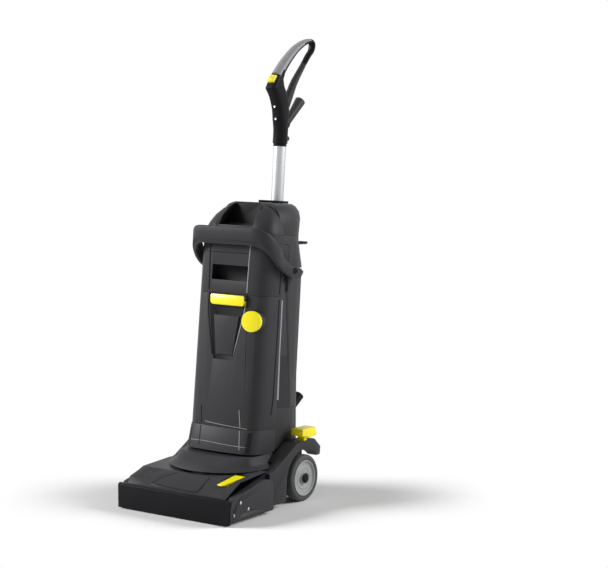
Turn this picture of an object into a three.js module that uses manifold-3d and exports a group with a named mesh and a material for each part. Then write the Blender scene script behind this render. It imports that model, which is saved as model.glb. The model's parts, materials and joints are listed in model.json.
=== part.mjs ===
// Upright wet dry floor scrubber: a low roller head on two wheels, and a column with two tanks,
// a steel tube and a loop handle that tilts back about the wheel axle. Millimetres, +Z up.
// The front faces -Y and the machine's right side faces +X.
import * as THREE from 'three';
import { mergeVertices } from 'three/addons/utils/BufferGeometryUtils.js';
import Module from 'manifold-3d';

const wasm = await Module();
wasm.setup();

// Driving dimensions.
const machineWidth = 335;
const leanDegrees = 5;
const seam = 0.3;
const wall = 3;
const overrun = 4;
const roundSides = 24;
const smallSides = 12;

const wheel = {
  radius: 57, width: 26, outerFace: 158, discRadius: 44, beadDepth: 3, rimDepth: 5, webWidth: 8,
  bossRadius: 11, dish: 5,
};
const axle = { radius: 5, capRadius: 8.5, capHeight: 3.4, capWall: 2.2 };

const head = {
  front: 310, back: 141, bumperTop: 58, bumperBottom: 3, bumperWidth: 310, bumperThick: 5,
  groundGap: 8, shoulder: 92, deckEnd: 98, shoulderFront: 245, innerWidth: 294, endPlate: 4,
  skinThick: 3,
};
const roller = {
  radius: 30, setBack: 52, length: 280, coreRadius: 24, coreWall: 3, hubDepth: 18, pinRadius: 6,
  tunnelGap: 4, tunnelWall: 2.5, shaftLength: 22.5,
};
const drive = {
  motorRadius: 27, motorLength: 120, motorSetBack: 145, motorHeight: 66, motorOffset: 40,
  shaftRadius: 4, motorPulley: 10, rollerPulley: 15, pulleyWidth: 9, beltWidth: 8, beltThick: 2.4,
  flange: 1.2, cradleWall: 6,
};
const squeegee = {
  barDepth: 9, barHeight: 14, bladeDepth: 3, bladeHeight: 13, rearSetBack: 102, lift: 12,
  frontHeight: 26, ductHeight: 13, ductDepth: 16, ductWall: 2, stemWidth: 12,
};
const duct = { bottom: 34, height: 13, depth: 16, half: 120, wall: 2, pipeRadius: 11, pipeX: 75, pipeZ: 42 };
const deckPanel = { left: 80, right: 60, rise: 3, startShare: 0.15, endShare: 0.96 };
const endCover = { depth: 20, screwRadius: 4, screwLength: 7, headDepth: 2.2, shankRadius: 2, bossWall: 3 };
const lever = {
  width: 26, right: 128, hubBack: 204, hubHeight: 84, hubRadius: 10, tongueLength: 58, tongueDrop: 8,
  tongueThick: 6, tipWidth: 12, pinRadius: 2.5, recessFloor: 71, recessGap: 5, earWidth: 5,
};
const fender = {
  inner: 127.6, outer: 155, archRadius: 70, top: 147, crestFront: 25, crestBack: 45, lugBack: 70,
  lugTop: 124, lugBottom: 104, archStart: 42, bottom: 12, slopeFoot: 96, slopeFootSetBack: 118, flangeShare: 0.24,
  roof: 3,
};
const carrier = { inner: 113.5, thick: 13.7, top: 94, front: 115, back: 30, bottom: 26 };
const pedal = {
  width: 34, x: 139, pivotY: 12, pivotZ: 136, treadFront: 30, treadBack: 66, treadTop: 176, treadThick: 13,
  stemWidth: 20, stemDepth: 20, pinRadius: 3, slotGap: 3, slotDepth: 21, drop: 12,
};
const collar = { lap: 12, rimHalf: 119, rimFront: 249, topHalf: 106, topFront: 172, roundFrom: 130, top: 125, back: 62,
  midShare: 0.63, midRiseShare: 0.3, topSquareShare: 0.55 };

const column = {
  halfFront: 105, halfSplit: 107, halfBack: 110, split: 62, frontLow: 147, frontHigh: 134, back: 70,
  cornerRadius: 35, crown: 6, backSquareShare: 0.42,
};
const foot = { radius: 50, half: 109.5, depth: 100, cavityWall: 5, cavityFloor: 22 };
const tray = { bottom: 60, plateBottom: 63.5, top: 118, front: 161, half: 106, frontTop: 149, floor: 4 };
const fresh = { bottom: 118.3, top: 437.7, lidThick: 3, neckRadius: 22, neckHeight: 8, capRadius: 26,
  capHeight: 12, capSetBack: 92, outletRadius: 7 };
const dirty = { bottom: 438, top: 585, sill: 52 };
const dome = { bottom: 585.3, top: 661, round: 50, frontRound: 62, backRound: 9, steps: 5 };
const scoop = { frontHalf: 50, backHalf: 62, floor: 612, back: 66, wall: 3 };
const tie = { topHalf: 60, midHalf: 57, lowHalf: 31, midHeight: 425, lowHeight: 280, depth: 4 };
const fingerRecess = { low: 471, high: 507, half: 54, depth: 30 };
const latch = { low: 411, high: 436.5, half: 51, thick: 9, cornerRadius: 9, pinRadius: 2, lipDepth: 5,
  lipHeight: 5, open: 30 };
const shield = { low: 292, high: 386, lowHalf: 25, highHalf: 38, thick: 2.6 };
const knob = { x: 79, height: 377.5, radius: 27, thick: 10, turn: 11, collarRadius: 25, collarStand: 6,
  stemRadius: 5, stemLength: 12, ribDepth: 1.4, ribs: 12 };
const bail = {
  half: 125, inner: 114, barFront: 164, barInner: 150, cornerRadius: 34, innerCorner: 24,
  pivotY: 38, pivotZ: 501, pinRadius: 5, pinHead: 8, pinHeadThick: 2.5, pinSink: 9, bossHoleGap: 0.3,
};
const rearHousing = { top: 585, lowerTop: 168 };
const turbine = { radius: 46, bottom: 470, height: 34, motorRadius: 34, motorHeight: 62, y: 4, x: 36, eye: 16,
  fanRadius: 40, fanHeight: 14, blades: 8, bladeThick: 2, wall: 2.5, shaftRadius: 4 };
const pipe = { radius: 16, wall: 2, x: 62, y: 6, bottom: 64, top: 560 };
const tube = { radius: 15.5, wall: 1.5, y: 44.7, bottom: 520, top: 850 };
const wedge = { half: 25, back: 60.5, tip: 30, thick: 6, tipHalf: 6 };
const ledge = { half: 28, length: 78, low: 549, thick: 13, tipThick: 6, cornerRadius: 20 };
const cordHook = { rootRadius: 8, tipRadius: 13.5, capThick: 3 };
const lowerHook = { rootY: 62, rootZ: 132, tipY: 115, tipZ: 184, x: 45 };
const upperHook = { rootY: 66, rootZ: 858, tipY: 121, tipZ: 920, baseRadius: 12, baseThick: 4 };
const handle = {
  sleeveRadius: 18.5, sleeveBottom: 811, half: 18, bevel: 5, top: 1100,
  faceLowY: -9.8, faceLowZ: 953, faceTopY: 8.5, faceTopZ: 975.5,
  topFrontY: 21.5, topFrontZ: 1000, topBackY: 44, topBackZ: 979.5,
  screwRadius: 4, screwHead: 2.5, screwSink: -1, screwBite: 8, screwOpen: 20, screwHeights: [871, 902],
};
const grip = {
  start: { across: 15, through: 15 }, end: { across: 11, through: 7 }, legEnd: { across: 13, through: 10 },
  endShare: 0.41, gapShare: 0.0012,
};
const slider = { width: 16, length: 16, slotLength: 27, rise: 4, well: 7 };
const gland = { radius: 6, length: 12 };

const leanRadians = THREE.MathUtils.degToRad(leanDegrees);
const rollerY = -head.front + roller.setBack;
const rollerZ = roller.radius;
const motorY = -head.front + drive.motorSetBack;
const rearSqueegeeY = -head.front + squeegee.rearSetBack;
const squeegeeHalf = head.innerWidth / 2 - head.endPlate - seam;

// Geometry helpers.
function toSolid(geometry) {
  let bare = geometry.index ? geometry.toNonIndexed() : geometry.clone();
  bare.deleteAttribute('normal');
  bare.deleteAttribute('uv');
  bare = mergeVertices(bare, 1e-3);
  const used = [];
  const index = bare.index.array;
  for (let i = 0; i < index.length; i += 3) {
    const [a, b, c] = [index[i], index[i + 1], index[i + 2]];
    if (a !== b && b !== c && c !== a) used.push(a, b, c);
  }
  return new wasm.Manifold(new wasm.Mesh({
    numProp: 3,
    vertProperties: new Float32Array(bare.attributes.position.array),
    triVerts: new Uint32Array(used),
  }));
}

function toGeometry(solid) {
  const mesh = solid.getMesh();
  const geometry = new THREE.BufferGeometry();
  geometry.setAttribute('position', new THREE.BufferAttribute(new Float32Array(mesh.vertProperties), 3));
  geometry.setIndex(new THREE.BufferAttribute(new Uint32Array(mesh.triVerts), 1));
  return geometry;
}

function join(...solids) {
  return solids.reduce((whole, piece) => whole.add(piece));
}

function cut(solid, ...tools) {
  return tools.reduce((rest, tool) => rest.subtract(tool), solid);
}

function block(x0, x1, y0, y1, z0, z1) {
  const geometry = new THREE.BoxGeometry(x1 - x0, y1 - y0, z1 - z0);
  geometry.translate((x0 + x1) / 2, (y0 + y1) / 2, (z0 + z1) / 2);
  return toSolid(geometry);
}

function rod(radius, length, sides = smallSides, endRadius = radius) {
  const geometry = new THREE.CylinderGeometry(endRadius, radius, length, sides);
  geometry.rotateX(Math.PI / 2);
  geometry.translate(0, 0, length / 2);
  return geometry;
}

function rodX(radius, x0, x1, y, z, sides = smallSides) {
  const geometry = rod(radius, x1 - x0, sides);
  geometry.rotateY(Math.PI / 2);
  geometry.translate(x0, y, z);
  return toSolid(geometry);
}

function rodY(radius, x, z, y0, y1, sides = roundSides) {
  const geometry = rod(radius, y1 - y0, sides);
  geometry.rotateX(-Math.PI / 2);
  geometry.translate(x, y0, z);
  return toSolid(geometry);
}

function rodZ(radius, x, y, z0, z1, sides = roundSides) {
  const geometry = rod(radius, z1 - z0, sides);
  geometry.translate(x, y, z0);
  return toSolid(geometry);
}

function rodBetween(from, to, radius, endRadius, sides = smallSides) {
  const line = new THREE.Vector3().subVectors(to, from);
  const geometry = rod(radius, line.length(), sides, endRadius);
  const turn = new THREE.Quaternion().setFromUnitVectors(new THREE.Vector3(0, 0, 1), line.normalize());
  geometry.applyQuaternion(turn);
  geometry.translate(from.x, from.y, from.z);
  return toSolid(geometry);
}

// A side outline of [y, z] points, swept along X.
function sweepX(outline, x0, x1) {
  const shape = new THREE.Shape(outline.map(([y, z]) => new THREE.Vector2(y, z)));
  const geometry = new THREE.ExtrudeGeometry(shape, { depth: x1 - x0, bevelEnabled: false, steps: 1 });
  geometry.applyMatrix4(new THREE.Matrix4().set(0, 0, 1, x0, 1, 0, 0, 0, 0, 1, 0, 0, 0, 0, 0, 1));
  return toSolid(geometry);
}

// A plan outline of [x, y] points, swept along Z.
function sweepZ(outline, z0, z1) {
  const shape = new THREE.Shape(outline.map(([x, y]) => new THREE.Vector2(x, y)));
  const geometry = new THREE.ExtrudeGeometry(shape, { depth: z1 - z0, bevelEnabled: false, steps: 1 });
  geometry.translate(0, 0, z0);
  return toSolid(geometry);
}

// A front outline of [x, z] points, swept back along Y.
function sweepY(outline, y0, y1) {
  const shape = new THREE.Shape(outline.map(([x, z]) => new THREE.Vector2(x, z)));
  const geometry = new THREE.ExtrudeGeometry(shape, { depth: y1 - y0, bevelEnabled: false, steps: 1 });
  geometry.applyMatrix4(new THREE.Matrix4().set(1, 0, 0, 0, 0, 0, -1, y1, 0, 1, 0, 0, 0, 0, 0, 1));
  return toSolid(geometry);
}

// A skin through level outlines with equal point counts, each { z, outline }, closed at both ends.
function loft(levels) {
  const count = levels[0].outline.length;
  const positions = levels.flatMap(({ z, outline }) => outline.flatMap(([x, y]) => [x, y, z]));
  const faces = [];
  for (let level = 0; level < levels.length - 1; level += 1) {
    for (let i = 0; i < count; i += 1) {
      const next = (i + 1) % count;
      const [a, b] = [level * count + i, level * count + next];
      const [c, d] = [a + count, b + count];
      faces.push(a, b, d, a, d, c);
    }
  }
  const closeEnd = (level, flip) => {
    const flat = levels[level].outline.map(([x, y]) => new THREE.Vector2(x, y));
    THREE.ShapeUtils.triangulateShape(flat, []).forEach(([a, b, c]) => {
      const [p, q, r] = flip ? [c, b, a] : [a, b, c];
      faces.push(level * count + p, level * count + q, level * count + r);
    });
  };
  closeEnd(0, true);
  closeEnd(levels.length - 1, false);
  const geometry = new THREE.BufferGeometry();
  geometry.setAttribute('position', new THREE.Float32BufferAttribute(positions, 3));
  geometry.setIndex(faces);
  return toSolid(geometry);
}

// Points on an arc about [cx, cy], from one angle to another, in degrees.
function arc(cx, cy, radius, from, to, steps) {
  return Array.from({ length: steps + 1 }, (_, i) => {
    const angle = THREE.MathUtils.degToRad(from + ((to - from) * i) / steps);
    return [cx + radius * Math.cos(angle), cy + radius * Math.sin(angle)];
  });
}

function mirrorX(solid) {
  return solid.mirror([1, 0, 0]);
}

function swing(solid, y, z, degrees) {
  return solid.translate([0, -y, -z]).rotate([degrees, 0, 0]).translate([0, y, z]);
}

// Materials, one colour and finish for each kind of surface.
const finishes = {
  charcoal: [0x2e2e2f, 0.55, 0],
  black: [0x161617, 0.45, 0],
  grey: [0x5c5d5e, 0.6, 0],
  disc: [0x8d8e8f, 0.5, 0],
  yellow: [0xf2e416, 0.4, 0],
  tyre: [0x2a2a2b, 0.9, 0],
  rubber: [0x1d1d1e, 0.8, 0],
  steel: [0xc9cbcd, 0.3, 1],
  tubeSteel: [0xd8dadb, 0.35, 1],
  microfibre: [0xf2f3ef, 0.95, 0],
  belt: [0x101011, 0.8, 0],
  lid: [0x232324, 0.5, 0],
};

const base = new THREE.Group();
const tilting = new THREE.Group();

function add(group, name, solid, finish) {
  const [color, roughness, metalness] = finishes[finish];
  const material = new THREE.MeshStandardMaterial({ color, roughness, metalness });
  const mesh = new THREE.Mesh(toGeometry(solid), material);
  mesh.name = name;
  group.add(mesh);
}

// Outlines that several pieces share.
function endCoverOutline(inset = 0) {
  const rise = (share) => head.bumperTop + share * (head.shoulder - head.bumperTop) - inset;
  const low = head.groundGap - seam + inset;
  const front = -head.front + 10 * seam + inset;
  const back = -head.back - inset;
  const span = back - front;
  const shares = [[0, -0.5], [0.03, -0.12], [0.1, 0.14], [0.34, 0.4], [0.55, 0.62], [0.71, 0.76], [0.84, 0.79],
    [0.94, 0.7], [0.99, 0.44]];
  return [[front, low], [back, low], ...shares.reverse().map(([along, up]) => [front + along * span, rise(up)])];
}

function deckOutline(offset) {
  const front = -head.front + head.bumperThick + seam;
  return [
    [front, head.bumperTop + seam - offset],
    [-head.shoulderFront, head.shoulder - offset],
    [-head.back, head.deckEnd - offset],
  ];
}

function columnOutline(front, half, { back = column.split, inset = 0 } = {}) {
  const corner = column.cornerRadius - inset;
  const halfSplit = half + column.halfSplit - column.halfFront - inset;
  const cornerX = half - column.cornerRadius;
  const cornerY = -front + column.crown + column.cornerRadius;
  const crownHalf = cornerX;
  const crownSteps = 6;
  const crownPoints = Array.from({ length: crownSteps - 1 }, (_, i) => {
    const x = -crownHalf + (2 * crownHalf * (i + 1)) / crownSteps;
    return [x, -front + inset + column.crown * (x / crownHalf) ** 2];
  });
  return [
    [halfSplit, -back - inset],
    [-halfSplit, -back - inset],
    ...arc(-cornerX, cornerY, corner, 180, 270, 4),
    ...crownPoints,
    ...arc(cornerX, cornerY, corner, 270, 360, 4),
  ];
}

function backOutline(half, back, inset = 0) {
  const front = -column.split + seam + inset;
  const straight = front + (back - front) * column.backSquareShare;
  const outer = half - inset;
  const round = Array.from({ length: 11 }, (_, i) => {
    const angle = (Math.PI * i) / 10;
    return [
      Math.sign(Math.cos(angle)) * outer * Math.abs(Math.cos(angle)) ** 0.8,
      straight + (back - inset - straight) * Math.sin(angle) ** 0.8,
    ];
  });
  const frontHalf = half - column.halfBack + column.halfSplit - inset;
  return [[frontHalf, front], ...round, [-frontHalf, front]];
}

function frontAt(height) {
  const share = (height - tray.top) / (dome.bottom - tray.top);
  return column.frontLow + (column.frontHigh - column.frontLow) * share;
}

// Wheels, axle and caps.
function tyre(side) {
  const inner = wheel.outerFace - wheel.width;
  const crown = wheel.radius - wheel.beadDepth;
  const profile = [
    [wheel.discRadius, 0], [crown, 0], [wheel.radius, wheel.beadDepth],
    [wheel.radius, wheel.width - wheel.beadDepth], [crown, wheel.width], [wheel.discRadius, wheel.width],
    [wheel.discRadius, 0],
  ];
  return turned(profile, inner, side);
}

function hub(side) {
  const inner = wheel.outerFace - wheel.width;
  const bore = axle.radius + seam;
  const rim = wheel.discRadius - seam;
  const rimInner = rim - wheel.rimDepth;
  const face = wheel.width - wheel.dish;
  const profile = [
    [bore, 0], [wheel.bossRadius, 0], [wheel.bossRadius, face - wheel.webWidth],
    [rimInner, face - wheel.webWidth], [rimInner, 0], [rim, 0], [rim, wheel.width], [rimInner, wheel.width],
    [rimInner, face], [wheel.bossRadius, face], [wheel.bossRadius, wheel.width], [bore, wheel.width], [bore, 0],
  ];
  return turned(profile, inner, side);
}

// A [radius, along] profile turned about the axle line, starting at x.
function turned(profile, x, side) {
  const points = profile.map(([radius, along]) => new THREE.Vector2(radius, along));
  const geometry = new THREE.LatheGeometry(points, roundSides);
  geometry.rotateZ(-Math.PI / 2);
  geometry.translate(x, 0, wheel.radius);
  const solid = toSolid(geometry);
  return side < 0 ? mirrorX(solid) : solid;
}

function addWheels() {
  for (const [name, side] of [['left', -1], ['right', 1]]) {
    add(base, `wheel_tyre_${name}`, tyre(side), 'tyre');
    add(base, `wheel_hub_${name}`, hub(side), 'disc');
    const capStart = wheel.outerFace + seam;
    const capRim = axle.capRadius - axle.capHeight / 2;
    const cap = turned([[0, 0], [axle.capRadius, 0], [axle.capRadius, axle.capHeight / 2],
      [capRim, axle.capHeight], [0, axle.capHeight]], capStart, side);
    add(base, `axle_cap_${name}`, cap, 'black');
  }
  add(base, 'axle', rodX(axle.radius, -wheel.outerFace, wheel.outerFace, 0, wheel.radius, roundSides), 'steel');
}

// The head: chassis, deck, bumper, end covers and collar.
function chassis() {
  const half = head.innerWidth / 2;
  const plateTop = deckOutline(head.skinThick + seam);
  const frontWall = -head.front + head.bumperThick + seam;
  const endPlate = (side) => {
    const outline = [[frontWall, head.groundGap], [-head.back, head.groundGap],
      ...plateTop.slice().reverse()];
    return sweepX(outline, side < 0 ? -half : half - head.endPlate, side < 0 ? -half + head.endPlate : half);
  };
  const tunnelInner = roller.radius + roller.tunnelGap;
  const tunnelOuter = tunnelInner + roller.tunnelWall;
  const tunnel = sweepX([
    ...arc(rollerY, rollerZ, tunnelOuter, 0, 180, 12),
    ...arc(rollerY, rollerZ, tunnelInner, 180, 0, 12),
  ], -half + head.endPlate / 2, half - head.endPlate / 2);
  const frontPlate = block(-half, half, frontWall, frontWall + wall, head.groundGap, head.bumperTop - wall);
  const tunnelFront = rollerY - tunnelOuter;
  const bridge = block(-half, half, frontWall, tunnelFront + wall, squeegee.frontHeight + seam,
    squeegee.frontHeight + seam + wall);
  const panFront = rearSqueegeeY + squeegee.ductDepth;
  const pan = block(-carrier.inner - wall, carrier.inner + wall, panFront, -collar.back - wall,
    carrier.bottom, carrier.bottom + wall);
  const sill = block(-half, half, panFront, panFront + wall, head.groundGap, carrier.bottom + wall);
  const backWall = block(-carrier.inner - wall, carrier.inner + wall, -collar.back - 2 * wall, -collar.back - wall,
    carrier.bottom, carrier.top);
  const wellBack = -lever.hubBack + lever.hubRadius + lever.recessGap + wall + seam;
  const cheek = (side) => {
    const x0 = side < 0 ? -carrier.inner - carrier.thick : carrier.inner;
    const boss = rodX(carrier.back, x0, x0 + carrier.thick, 0, wheel.radius, roundSides);
    const web = sweepX([[panFront, head.groundGap], [-carrier.front, head.groundGap], [0, carrier.bottom],
      [carrier.back, wheel.radius], [0, wheel.radius + carrier.back], [-collar.back, carrier.top],
      [-head.back, carrier.top], [wellBack, carrier.top - wall], [wellBack, lever.recessFloor - seam],
      [panFront, lever.recessFloor - seam]], x0, x0 + carrier.thick);
    return join(boss, web);
  };
  const tie = block(-half, half, -head.back - wall, -head.back, head.groundGap, carrier.top - 2 * wall);
  const tieDoor = block(-carrier.inner, carrier.inner, -head.back - wall - overrun, -head.back + overrun,
    0, carrier.top);
  const cradle = cut(
    block(-drive.motorOffset - drive.motorLength / 2, -drive.motorOffset + drive.motorLength / 2,
      motorY - drive.motorRadius, motorY + drive.motorRadius, carrier.bottom, drive.motorHeight - drive.motorRadius / 2),
    rodX(drive.motorRadius + seam, -half, half, motorY, drive.motorHeight, roundSides),
  );
  const solid = join(endPlate(-1), endPlate(1), tunnel, frontPlate, bridge, pan, sill, backWall,
    cheek(-1), cheek(1), cut(tie, tieDoor), cradle);
  const pinBore = roller.pinRadius + seam;
  return cut(
    solid,
    rodX(axle.radius + seam, -half, half, 0, wheel.radius, roundSides),
    rodX(pinBore, -half - overrun, -half + head.endPlate + overrun, rollerY, rollerZ),
    rodX(roller.radius + roller.tunnelGap / 2, half - head.endPlate - overrun, half + overrun, rollerY, rollerZ,
      roundSides),
    rodX(drive.shaftRadius + seam, -half - overrun, -carrier.inner + overrun, motorY, drive.motorHeight),
    rodY(duct.pipeRadius + seam, duct.pipeX, duct.pipeZ, panFront, 0),
  );
}

function deckCover() {
  const half = head.innerWidth / 2;
  const outline = [...deckOutline(0), ...deckOutline(head.skinThick).reverse()];
  const skin = sweepX(outline, -half, half);
  const windowHalf = lever.right - lever.width - lever.recessGap - 2 * wall;
  const windowRadius = collar.rimFront - collar.roundFrom - collar.lap;
  const opening = join(
    rodZ(windowRadius, 0, -collar.roundFrom, 0, head.deckEnd + overrun),
    block(-windowRadius, windowRadius, -collar.roundFrom, 0, 0, head.deckEnd + overrun),
  ).intersect(block(-windowHalf, windowHalf, -head.front, 0, 0, head.deckEnd + overrun));
  const leverLeft = lever.right - lever.width - lever.recessGap;
  const leverRight = lever.right + lever.recessGap;
  const leverBack = -lever.hubBack + lever.hubRadius + lever.recessGap;
  const leverFront = -lever.hubBack - lever.tongueLength;
  const well = block(leverLeft - wall, leverRight + wall, leverFront - wall, leverBack + wall, lever.recessFloor,
    head.shoulder - head.skinThick);
  const under = sweepX([...deckOutline(0), [-head.back, 0], [-head.front, 0]], -half, half);
  const wellHole = block(leverLeft, leverRight, leverFront, leverBack, lever.recessFloor + wall,
    head.deckEnd + overrun);
  const earZ = lever.hubHeight;
  const ears = [leverLeft, leverRight - lever.earWidth].map((x) => block(x, x + lever.earWidth,
    -lever.hubBack - lever.earWidth, -lever.hubBack + lever.earWidth, lever.recessFloor, earZ + lever.earWidth));
  const pinHole = rodX(lever.pinRadius + seam, leverLeft - overrun, leverRight + overrun, -lever.hubBack, earZ);
  return cut(join(cut(join(skin, well.intersect(under)), opening, wellHole), deckPlate(), ...ears), pinHole);
}

// The raised panel on the deck's slope.
function deckPlate() {
  const [low, shoulder] = deckOutline(0);
  const onDeck = (share) => [low[0] + (shoulder[0] - low[0]) * share, low[1] + (shoulder[1] - low[1]) * share];
  const [front, back] = [onDeck(deckPanel.startShare), onDeck(deckPanel.endShare)];
  const outline = [
    [front[0], front[1] - wall / 2], [back[0], back[1] - wall / 2], [back[0], back[1] + deckPanel.rise],
    [front[0], front[1] + deckPanel.rise / 2],
  ];
  return sweepX(outline, -deckPanel.left, deckPanel.right);
}

function bumper() {
  const half = head.bumperWidth / 2;
  const front = -head.front;
  return sweepX([[front, head.bumperBottom], [front + head.bumperThick, head.bumperBottom],
    [front + head.bumperThick, head.bumperTop - seam], [front + head.bumperThick / 2, head.bumperTop],
    [front, head.bumperTop - wall]], -half, half);
}

function endCoverShell() {
  const outer = machineWidth / 2;
  const inner = head.innerWidth / 2 + seam;
  const shell = cut(
    sweepX(endCoverOutline(), inner, outer),
    sweepX(endCoverOutline(wall), inner - overrun, outer - wall),
  );
  const frontTrim = block(inner - overrun, head.bumperWidth / 2 + seam, -head.front - overrun,
    -head.front + head.bumperThick + seam, 0, head.shoulder);
  return cut(shell, frontTrim);
}

// Places of the three cover screws, as [y, z].
const coverScrews = [[rollerY - 9, rollerZ + 19], [rollerY + 20, rollerZ - 1], [rollerY - 35, rollerZ - 6]];

function coverScrew(y, z) {
  const face = machineWidth / 2 - seam;
  return join(
    rodX(endCover.screwRadius, face - endCover.headDepth, face, y, z),
    rodX(endCover.shankRadius, face - endCover.screwLength, face - endCover.headDepth, y, z),
  );
}

function rightCover() {
  const outer = machineWidth / 2;
  const inner = head.innerWidth / 2 + seam;
  const bosses = coverScrews.map(([y, z]) => rodX(endCover.screwRadius + endCover.bossWall,
    outer - endCover.screwLength - wall, outer - wall / 2, y, z));
  const bearingSeat = rodX(roller.pinRadius + 2 * wall, inner + wall, outer - wall / 2, rollerY, rollerZ, roundSides);
  const spigot = rodX(roller.pinRadius, roller.length / 2 - roller.hubDepth + wall, outer - wall, rollerY, rollerZ);
  const holes = coverScrews.flatMap(([y, z]) => [
    rodX(endCover.screwRadius + seam, outer - endCover.headDepth - 2 * seam, outer + overrun, y, z),
    rodX(endCover.shankRadius + seam, outer - endCover.screwLength - 2 * seam, outer, y, z),
  ]);
  return cut(join(endCoverShell(), ...bosses, bearingSeat, spigot), ...holes);
}

// The collar's plan: a straight back and sides, and a rounded front that grows squarer towards the top.
function collarOutline(share, inset) {
  const between = (rim, top) => rim + (top - rim) * share - inset;
  const half = between(collar.rimHalf, collar.topHalf);
  const front = between(collar.rimFront, collar.topFront);
  const power = 1 + (collar.topSquareShare - 1) * share;
  const steps = 14;
  const round = Array.from({ length: steps + 1 }, (_, i) => {
    const angle = (Math.PI * i) / steps;
    const across = -Math.sign(Math.cos(angle)) * Math.abs(Math.cos(angle)) ** power;
    return [half * across, -collar.roundFrom - (front - collar.roundFrom) * Math.sin(angle) ** power];
  });
  return [[half, -collar.back - inset], [-half, -collar.back - inset], ...round];
}

function collarHood() {
  const rimZ = head.deckEnd + seam;
  const midZ = rimZ + (collar.top - rimZ) * collar.midRiseShare;
  const levels = (inset, drop) => [
    { z: rimZ - drop, outline: collarOutline(0, inset) },
    { z: midZ - inset, outline: collarOutline(collar.midShare, inset) },
    { z: collar.top - inset, outline: collarOutline(1, inset) },
  ];
  return cut(loft(levels(0, 0)), loft(levels(wall, overrun)));
}

// Moves each point of a closed outline inwards by the same distance.
function insetOutline(outline, distance) {
  const area = outline.reduce((sum, [x, y], i) => {
    const [nextX, nextY] = outline[(i + 1) % outline.length];
    return sum + x * nextY - nextX * y;
  }, 0);
  const side = Math.sign(area) * distance;
  const normal = ([x0, y0], [x1, y1]) => {
    const length = Math.hypot(x1 - x0, y1 - y0);
    return [-(y1 - y0) / length, (x1 - x0) / length];
  };
  return outline.map((point, i) => {
    const before = outline[(i + outline.length - 1) % outline.length];
    const after = outline[(i + 1) % outline.length];
    const [a, b] = [normal(before, point), normal(point, after)];
    const scale = side / (1 + a[0] * b[0] + a[1] * b[1]);
    return [point[0] + (a[0] + b[0]) * scale, point[1] + (a[1] + b[1]) * scale];
  });
}

// A wheel fender: the tower beside the column, with the wheel's arch and the pedal's slot and ears.
function fenderSide(withPedal) {
  const outline = [
    [-head.back + seam, fender.bottom],
    [-fender.archRadius - wall, fender.bottom],
    ...arc(0, wheel.radius, fender.archRadius, 180, fender.archStart, 10),
    [fender.lugBack - wall, fender.lugBottom],
    [fender.lugBack, fender.lugTop],
    [fender.crestBack, fender.top],
    [-fender.crestFront, fender.top],
    [-fender.slopeFootSetBack, fender.slopeFoot],
    [-head.back + seam, head.shoulder],
  ];
  const shell = cut(
    sweepX(outline, fender.inner, fender.outer),
    sweepX(insetOutline(outline, fender.roof), fender.inner - overrun, fender.outer - fender.roof),
  );
  const footY = -fender.slopeFootSetBack + fender.flangeShare * (fender.slopeFootSetBack - fender.crestFront);
  const footZ = fender.slopeFoot + fender.flangeShare * (fender.top - fender.slopeFoot);
  const flangeBack = fender.crestBack - 2 * wall;
  const shelf = sweepX([
    [footY, footZ], [footY + wall, footZ - wall / 2], [-fender.crestFront + wall, fender.top - wall],
    [flangeBack, fender.top - wall], [flangeBack, fender.top], [-fender.crestFront, fender.top],
  ], carrier.inner, fender.outer - wall);
  const body = join(shell, shelf);
  if (!withPedal) return body;
  const halfSlot = pedal.stemWidth / 2 + seam;
  const slotDepth = pedal.stemDepth / 2 + pedal.slotGap;
  const ears = [-1, 1].map((side) => {
    const x = pedal.x + side * (halfSlot + wall / 2);
    return block(x - wall / 2, x + wall / 2, pedal.pivotY - slotDepth, pedal.pivotY + slotDepth,
      pedal.pivotZ - pedal.slotDepth / 2, fender.top - wall / 2);
  });
  return cut(
    join(body, ...ears),
    block(pedal.x - halfSlot, pedal.x + halfSlot, pedal.pivotY - slotDepth, pedal.pivotY + slotDepth,
      pedal.pivotZ - pedal.slotDepth, fender.top + overrun),
    rodX(pedal.pinRadius + seam, carrier.inner, fender.outer - wall, pedal.pivotY, pedal.pivotZ),
  );
}

function footPedal() {
  const [x0, x1] = [pedal.x - pedal.width / 2, pedal.x + pedal.width / 2];
  const treadUnder = pedal.treadTop - pedal.treadThick;
  const tread = sweepX([
    [-pedal.treadFront, treadUnder], [pedal.pivotY - pedal.stemDepth / 2, treadUnder - wall],
    [pedal.pivotY + pedal.stemDepth * 0.7, treadUnder - 3 * wall], [pedal.treadBack, treadUnder - 2 * wall],
    [pedal.treadBack, pedal.treadTop], [-pedal.treadFront, pedal.treadTop],
  ], x0, x1);
  const stemHalf = pedal.stemWidth / 2;
  const hubRadius = pedal.stemDepth / 2;
  const stem = join(
    rodX(hubRadius, pedal.x - stemHalf, pedal.x + stemHalf, pedal.pivotY, pedal.pivotZ, roundSides),
    block(pedal.x - stemHalf, pedal.x + stemHalf, pedal.pivotY - hubRadius, pedal.pivotY + hubRadius,
      pedal.pivotZ, treadUnder),
  );
  const reach = stemHalf + wall - seam;
  return join(tread, stem, rodX(pedal.pinRadius, pedal.x - reach, pedal.x + reach, pedal.pivotY, pedal.pivotZ));
}

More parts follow.
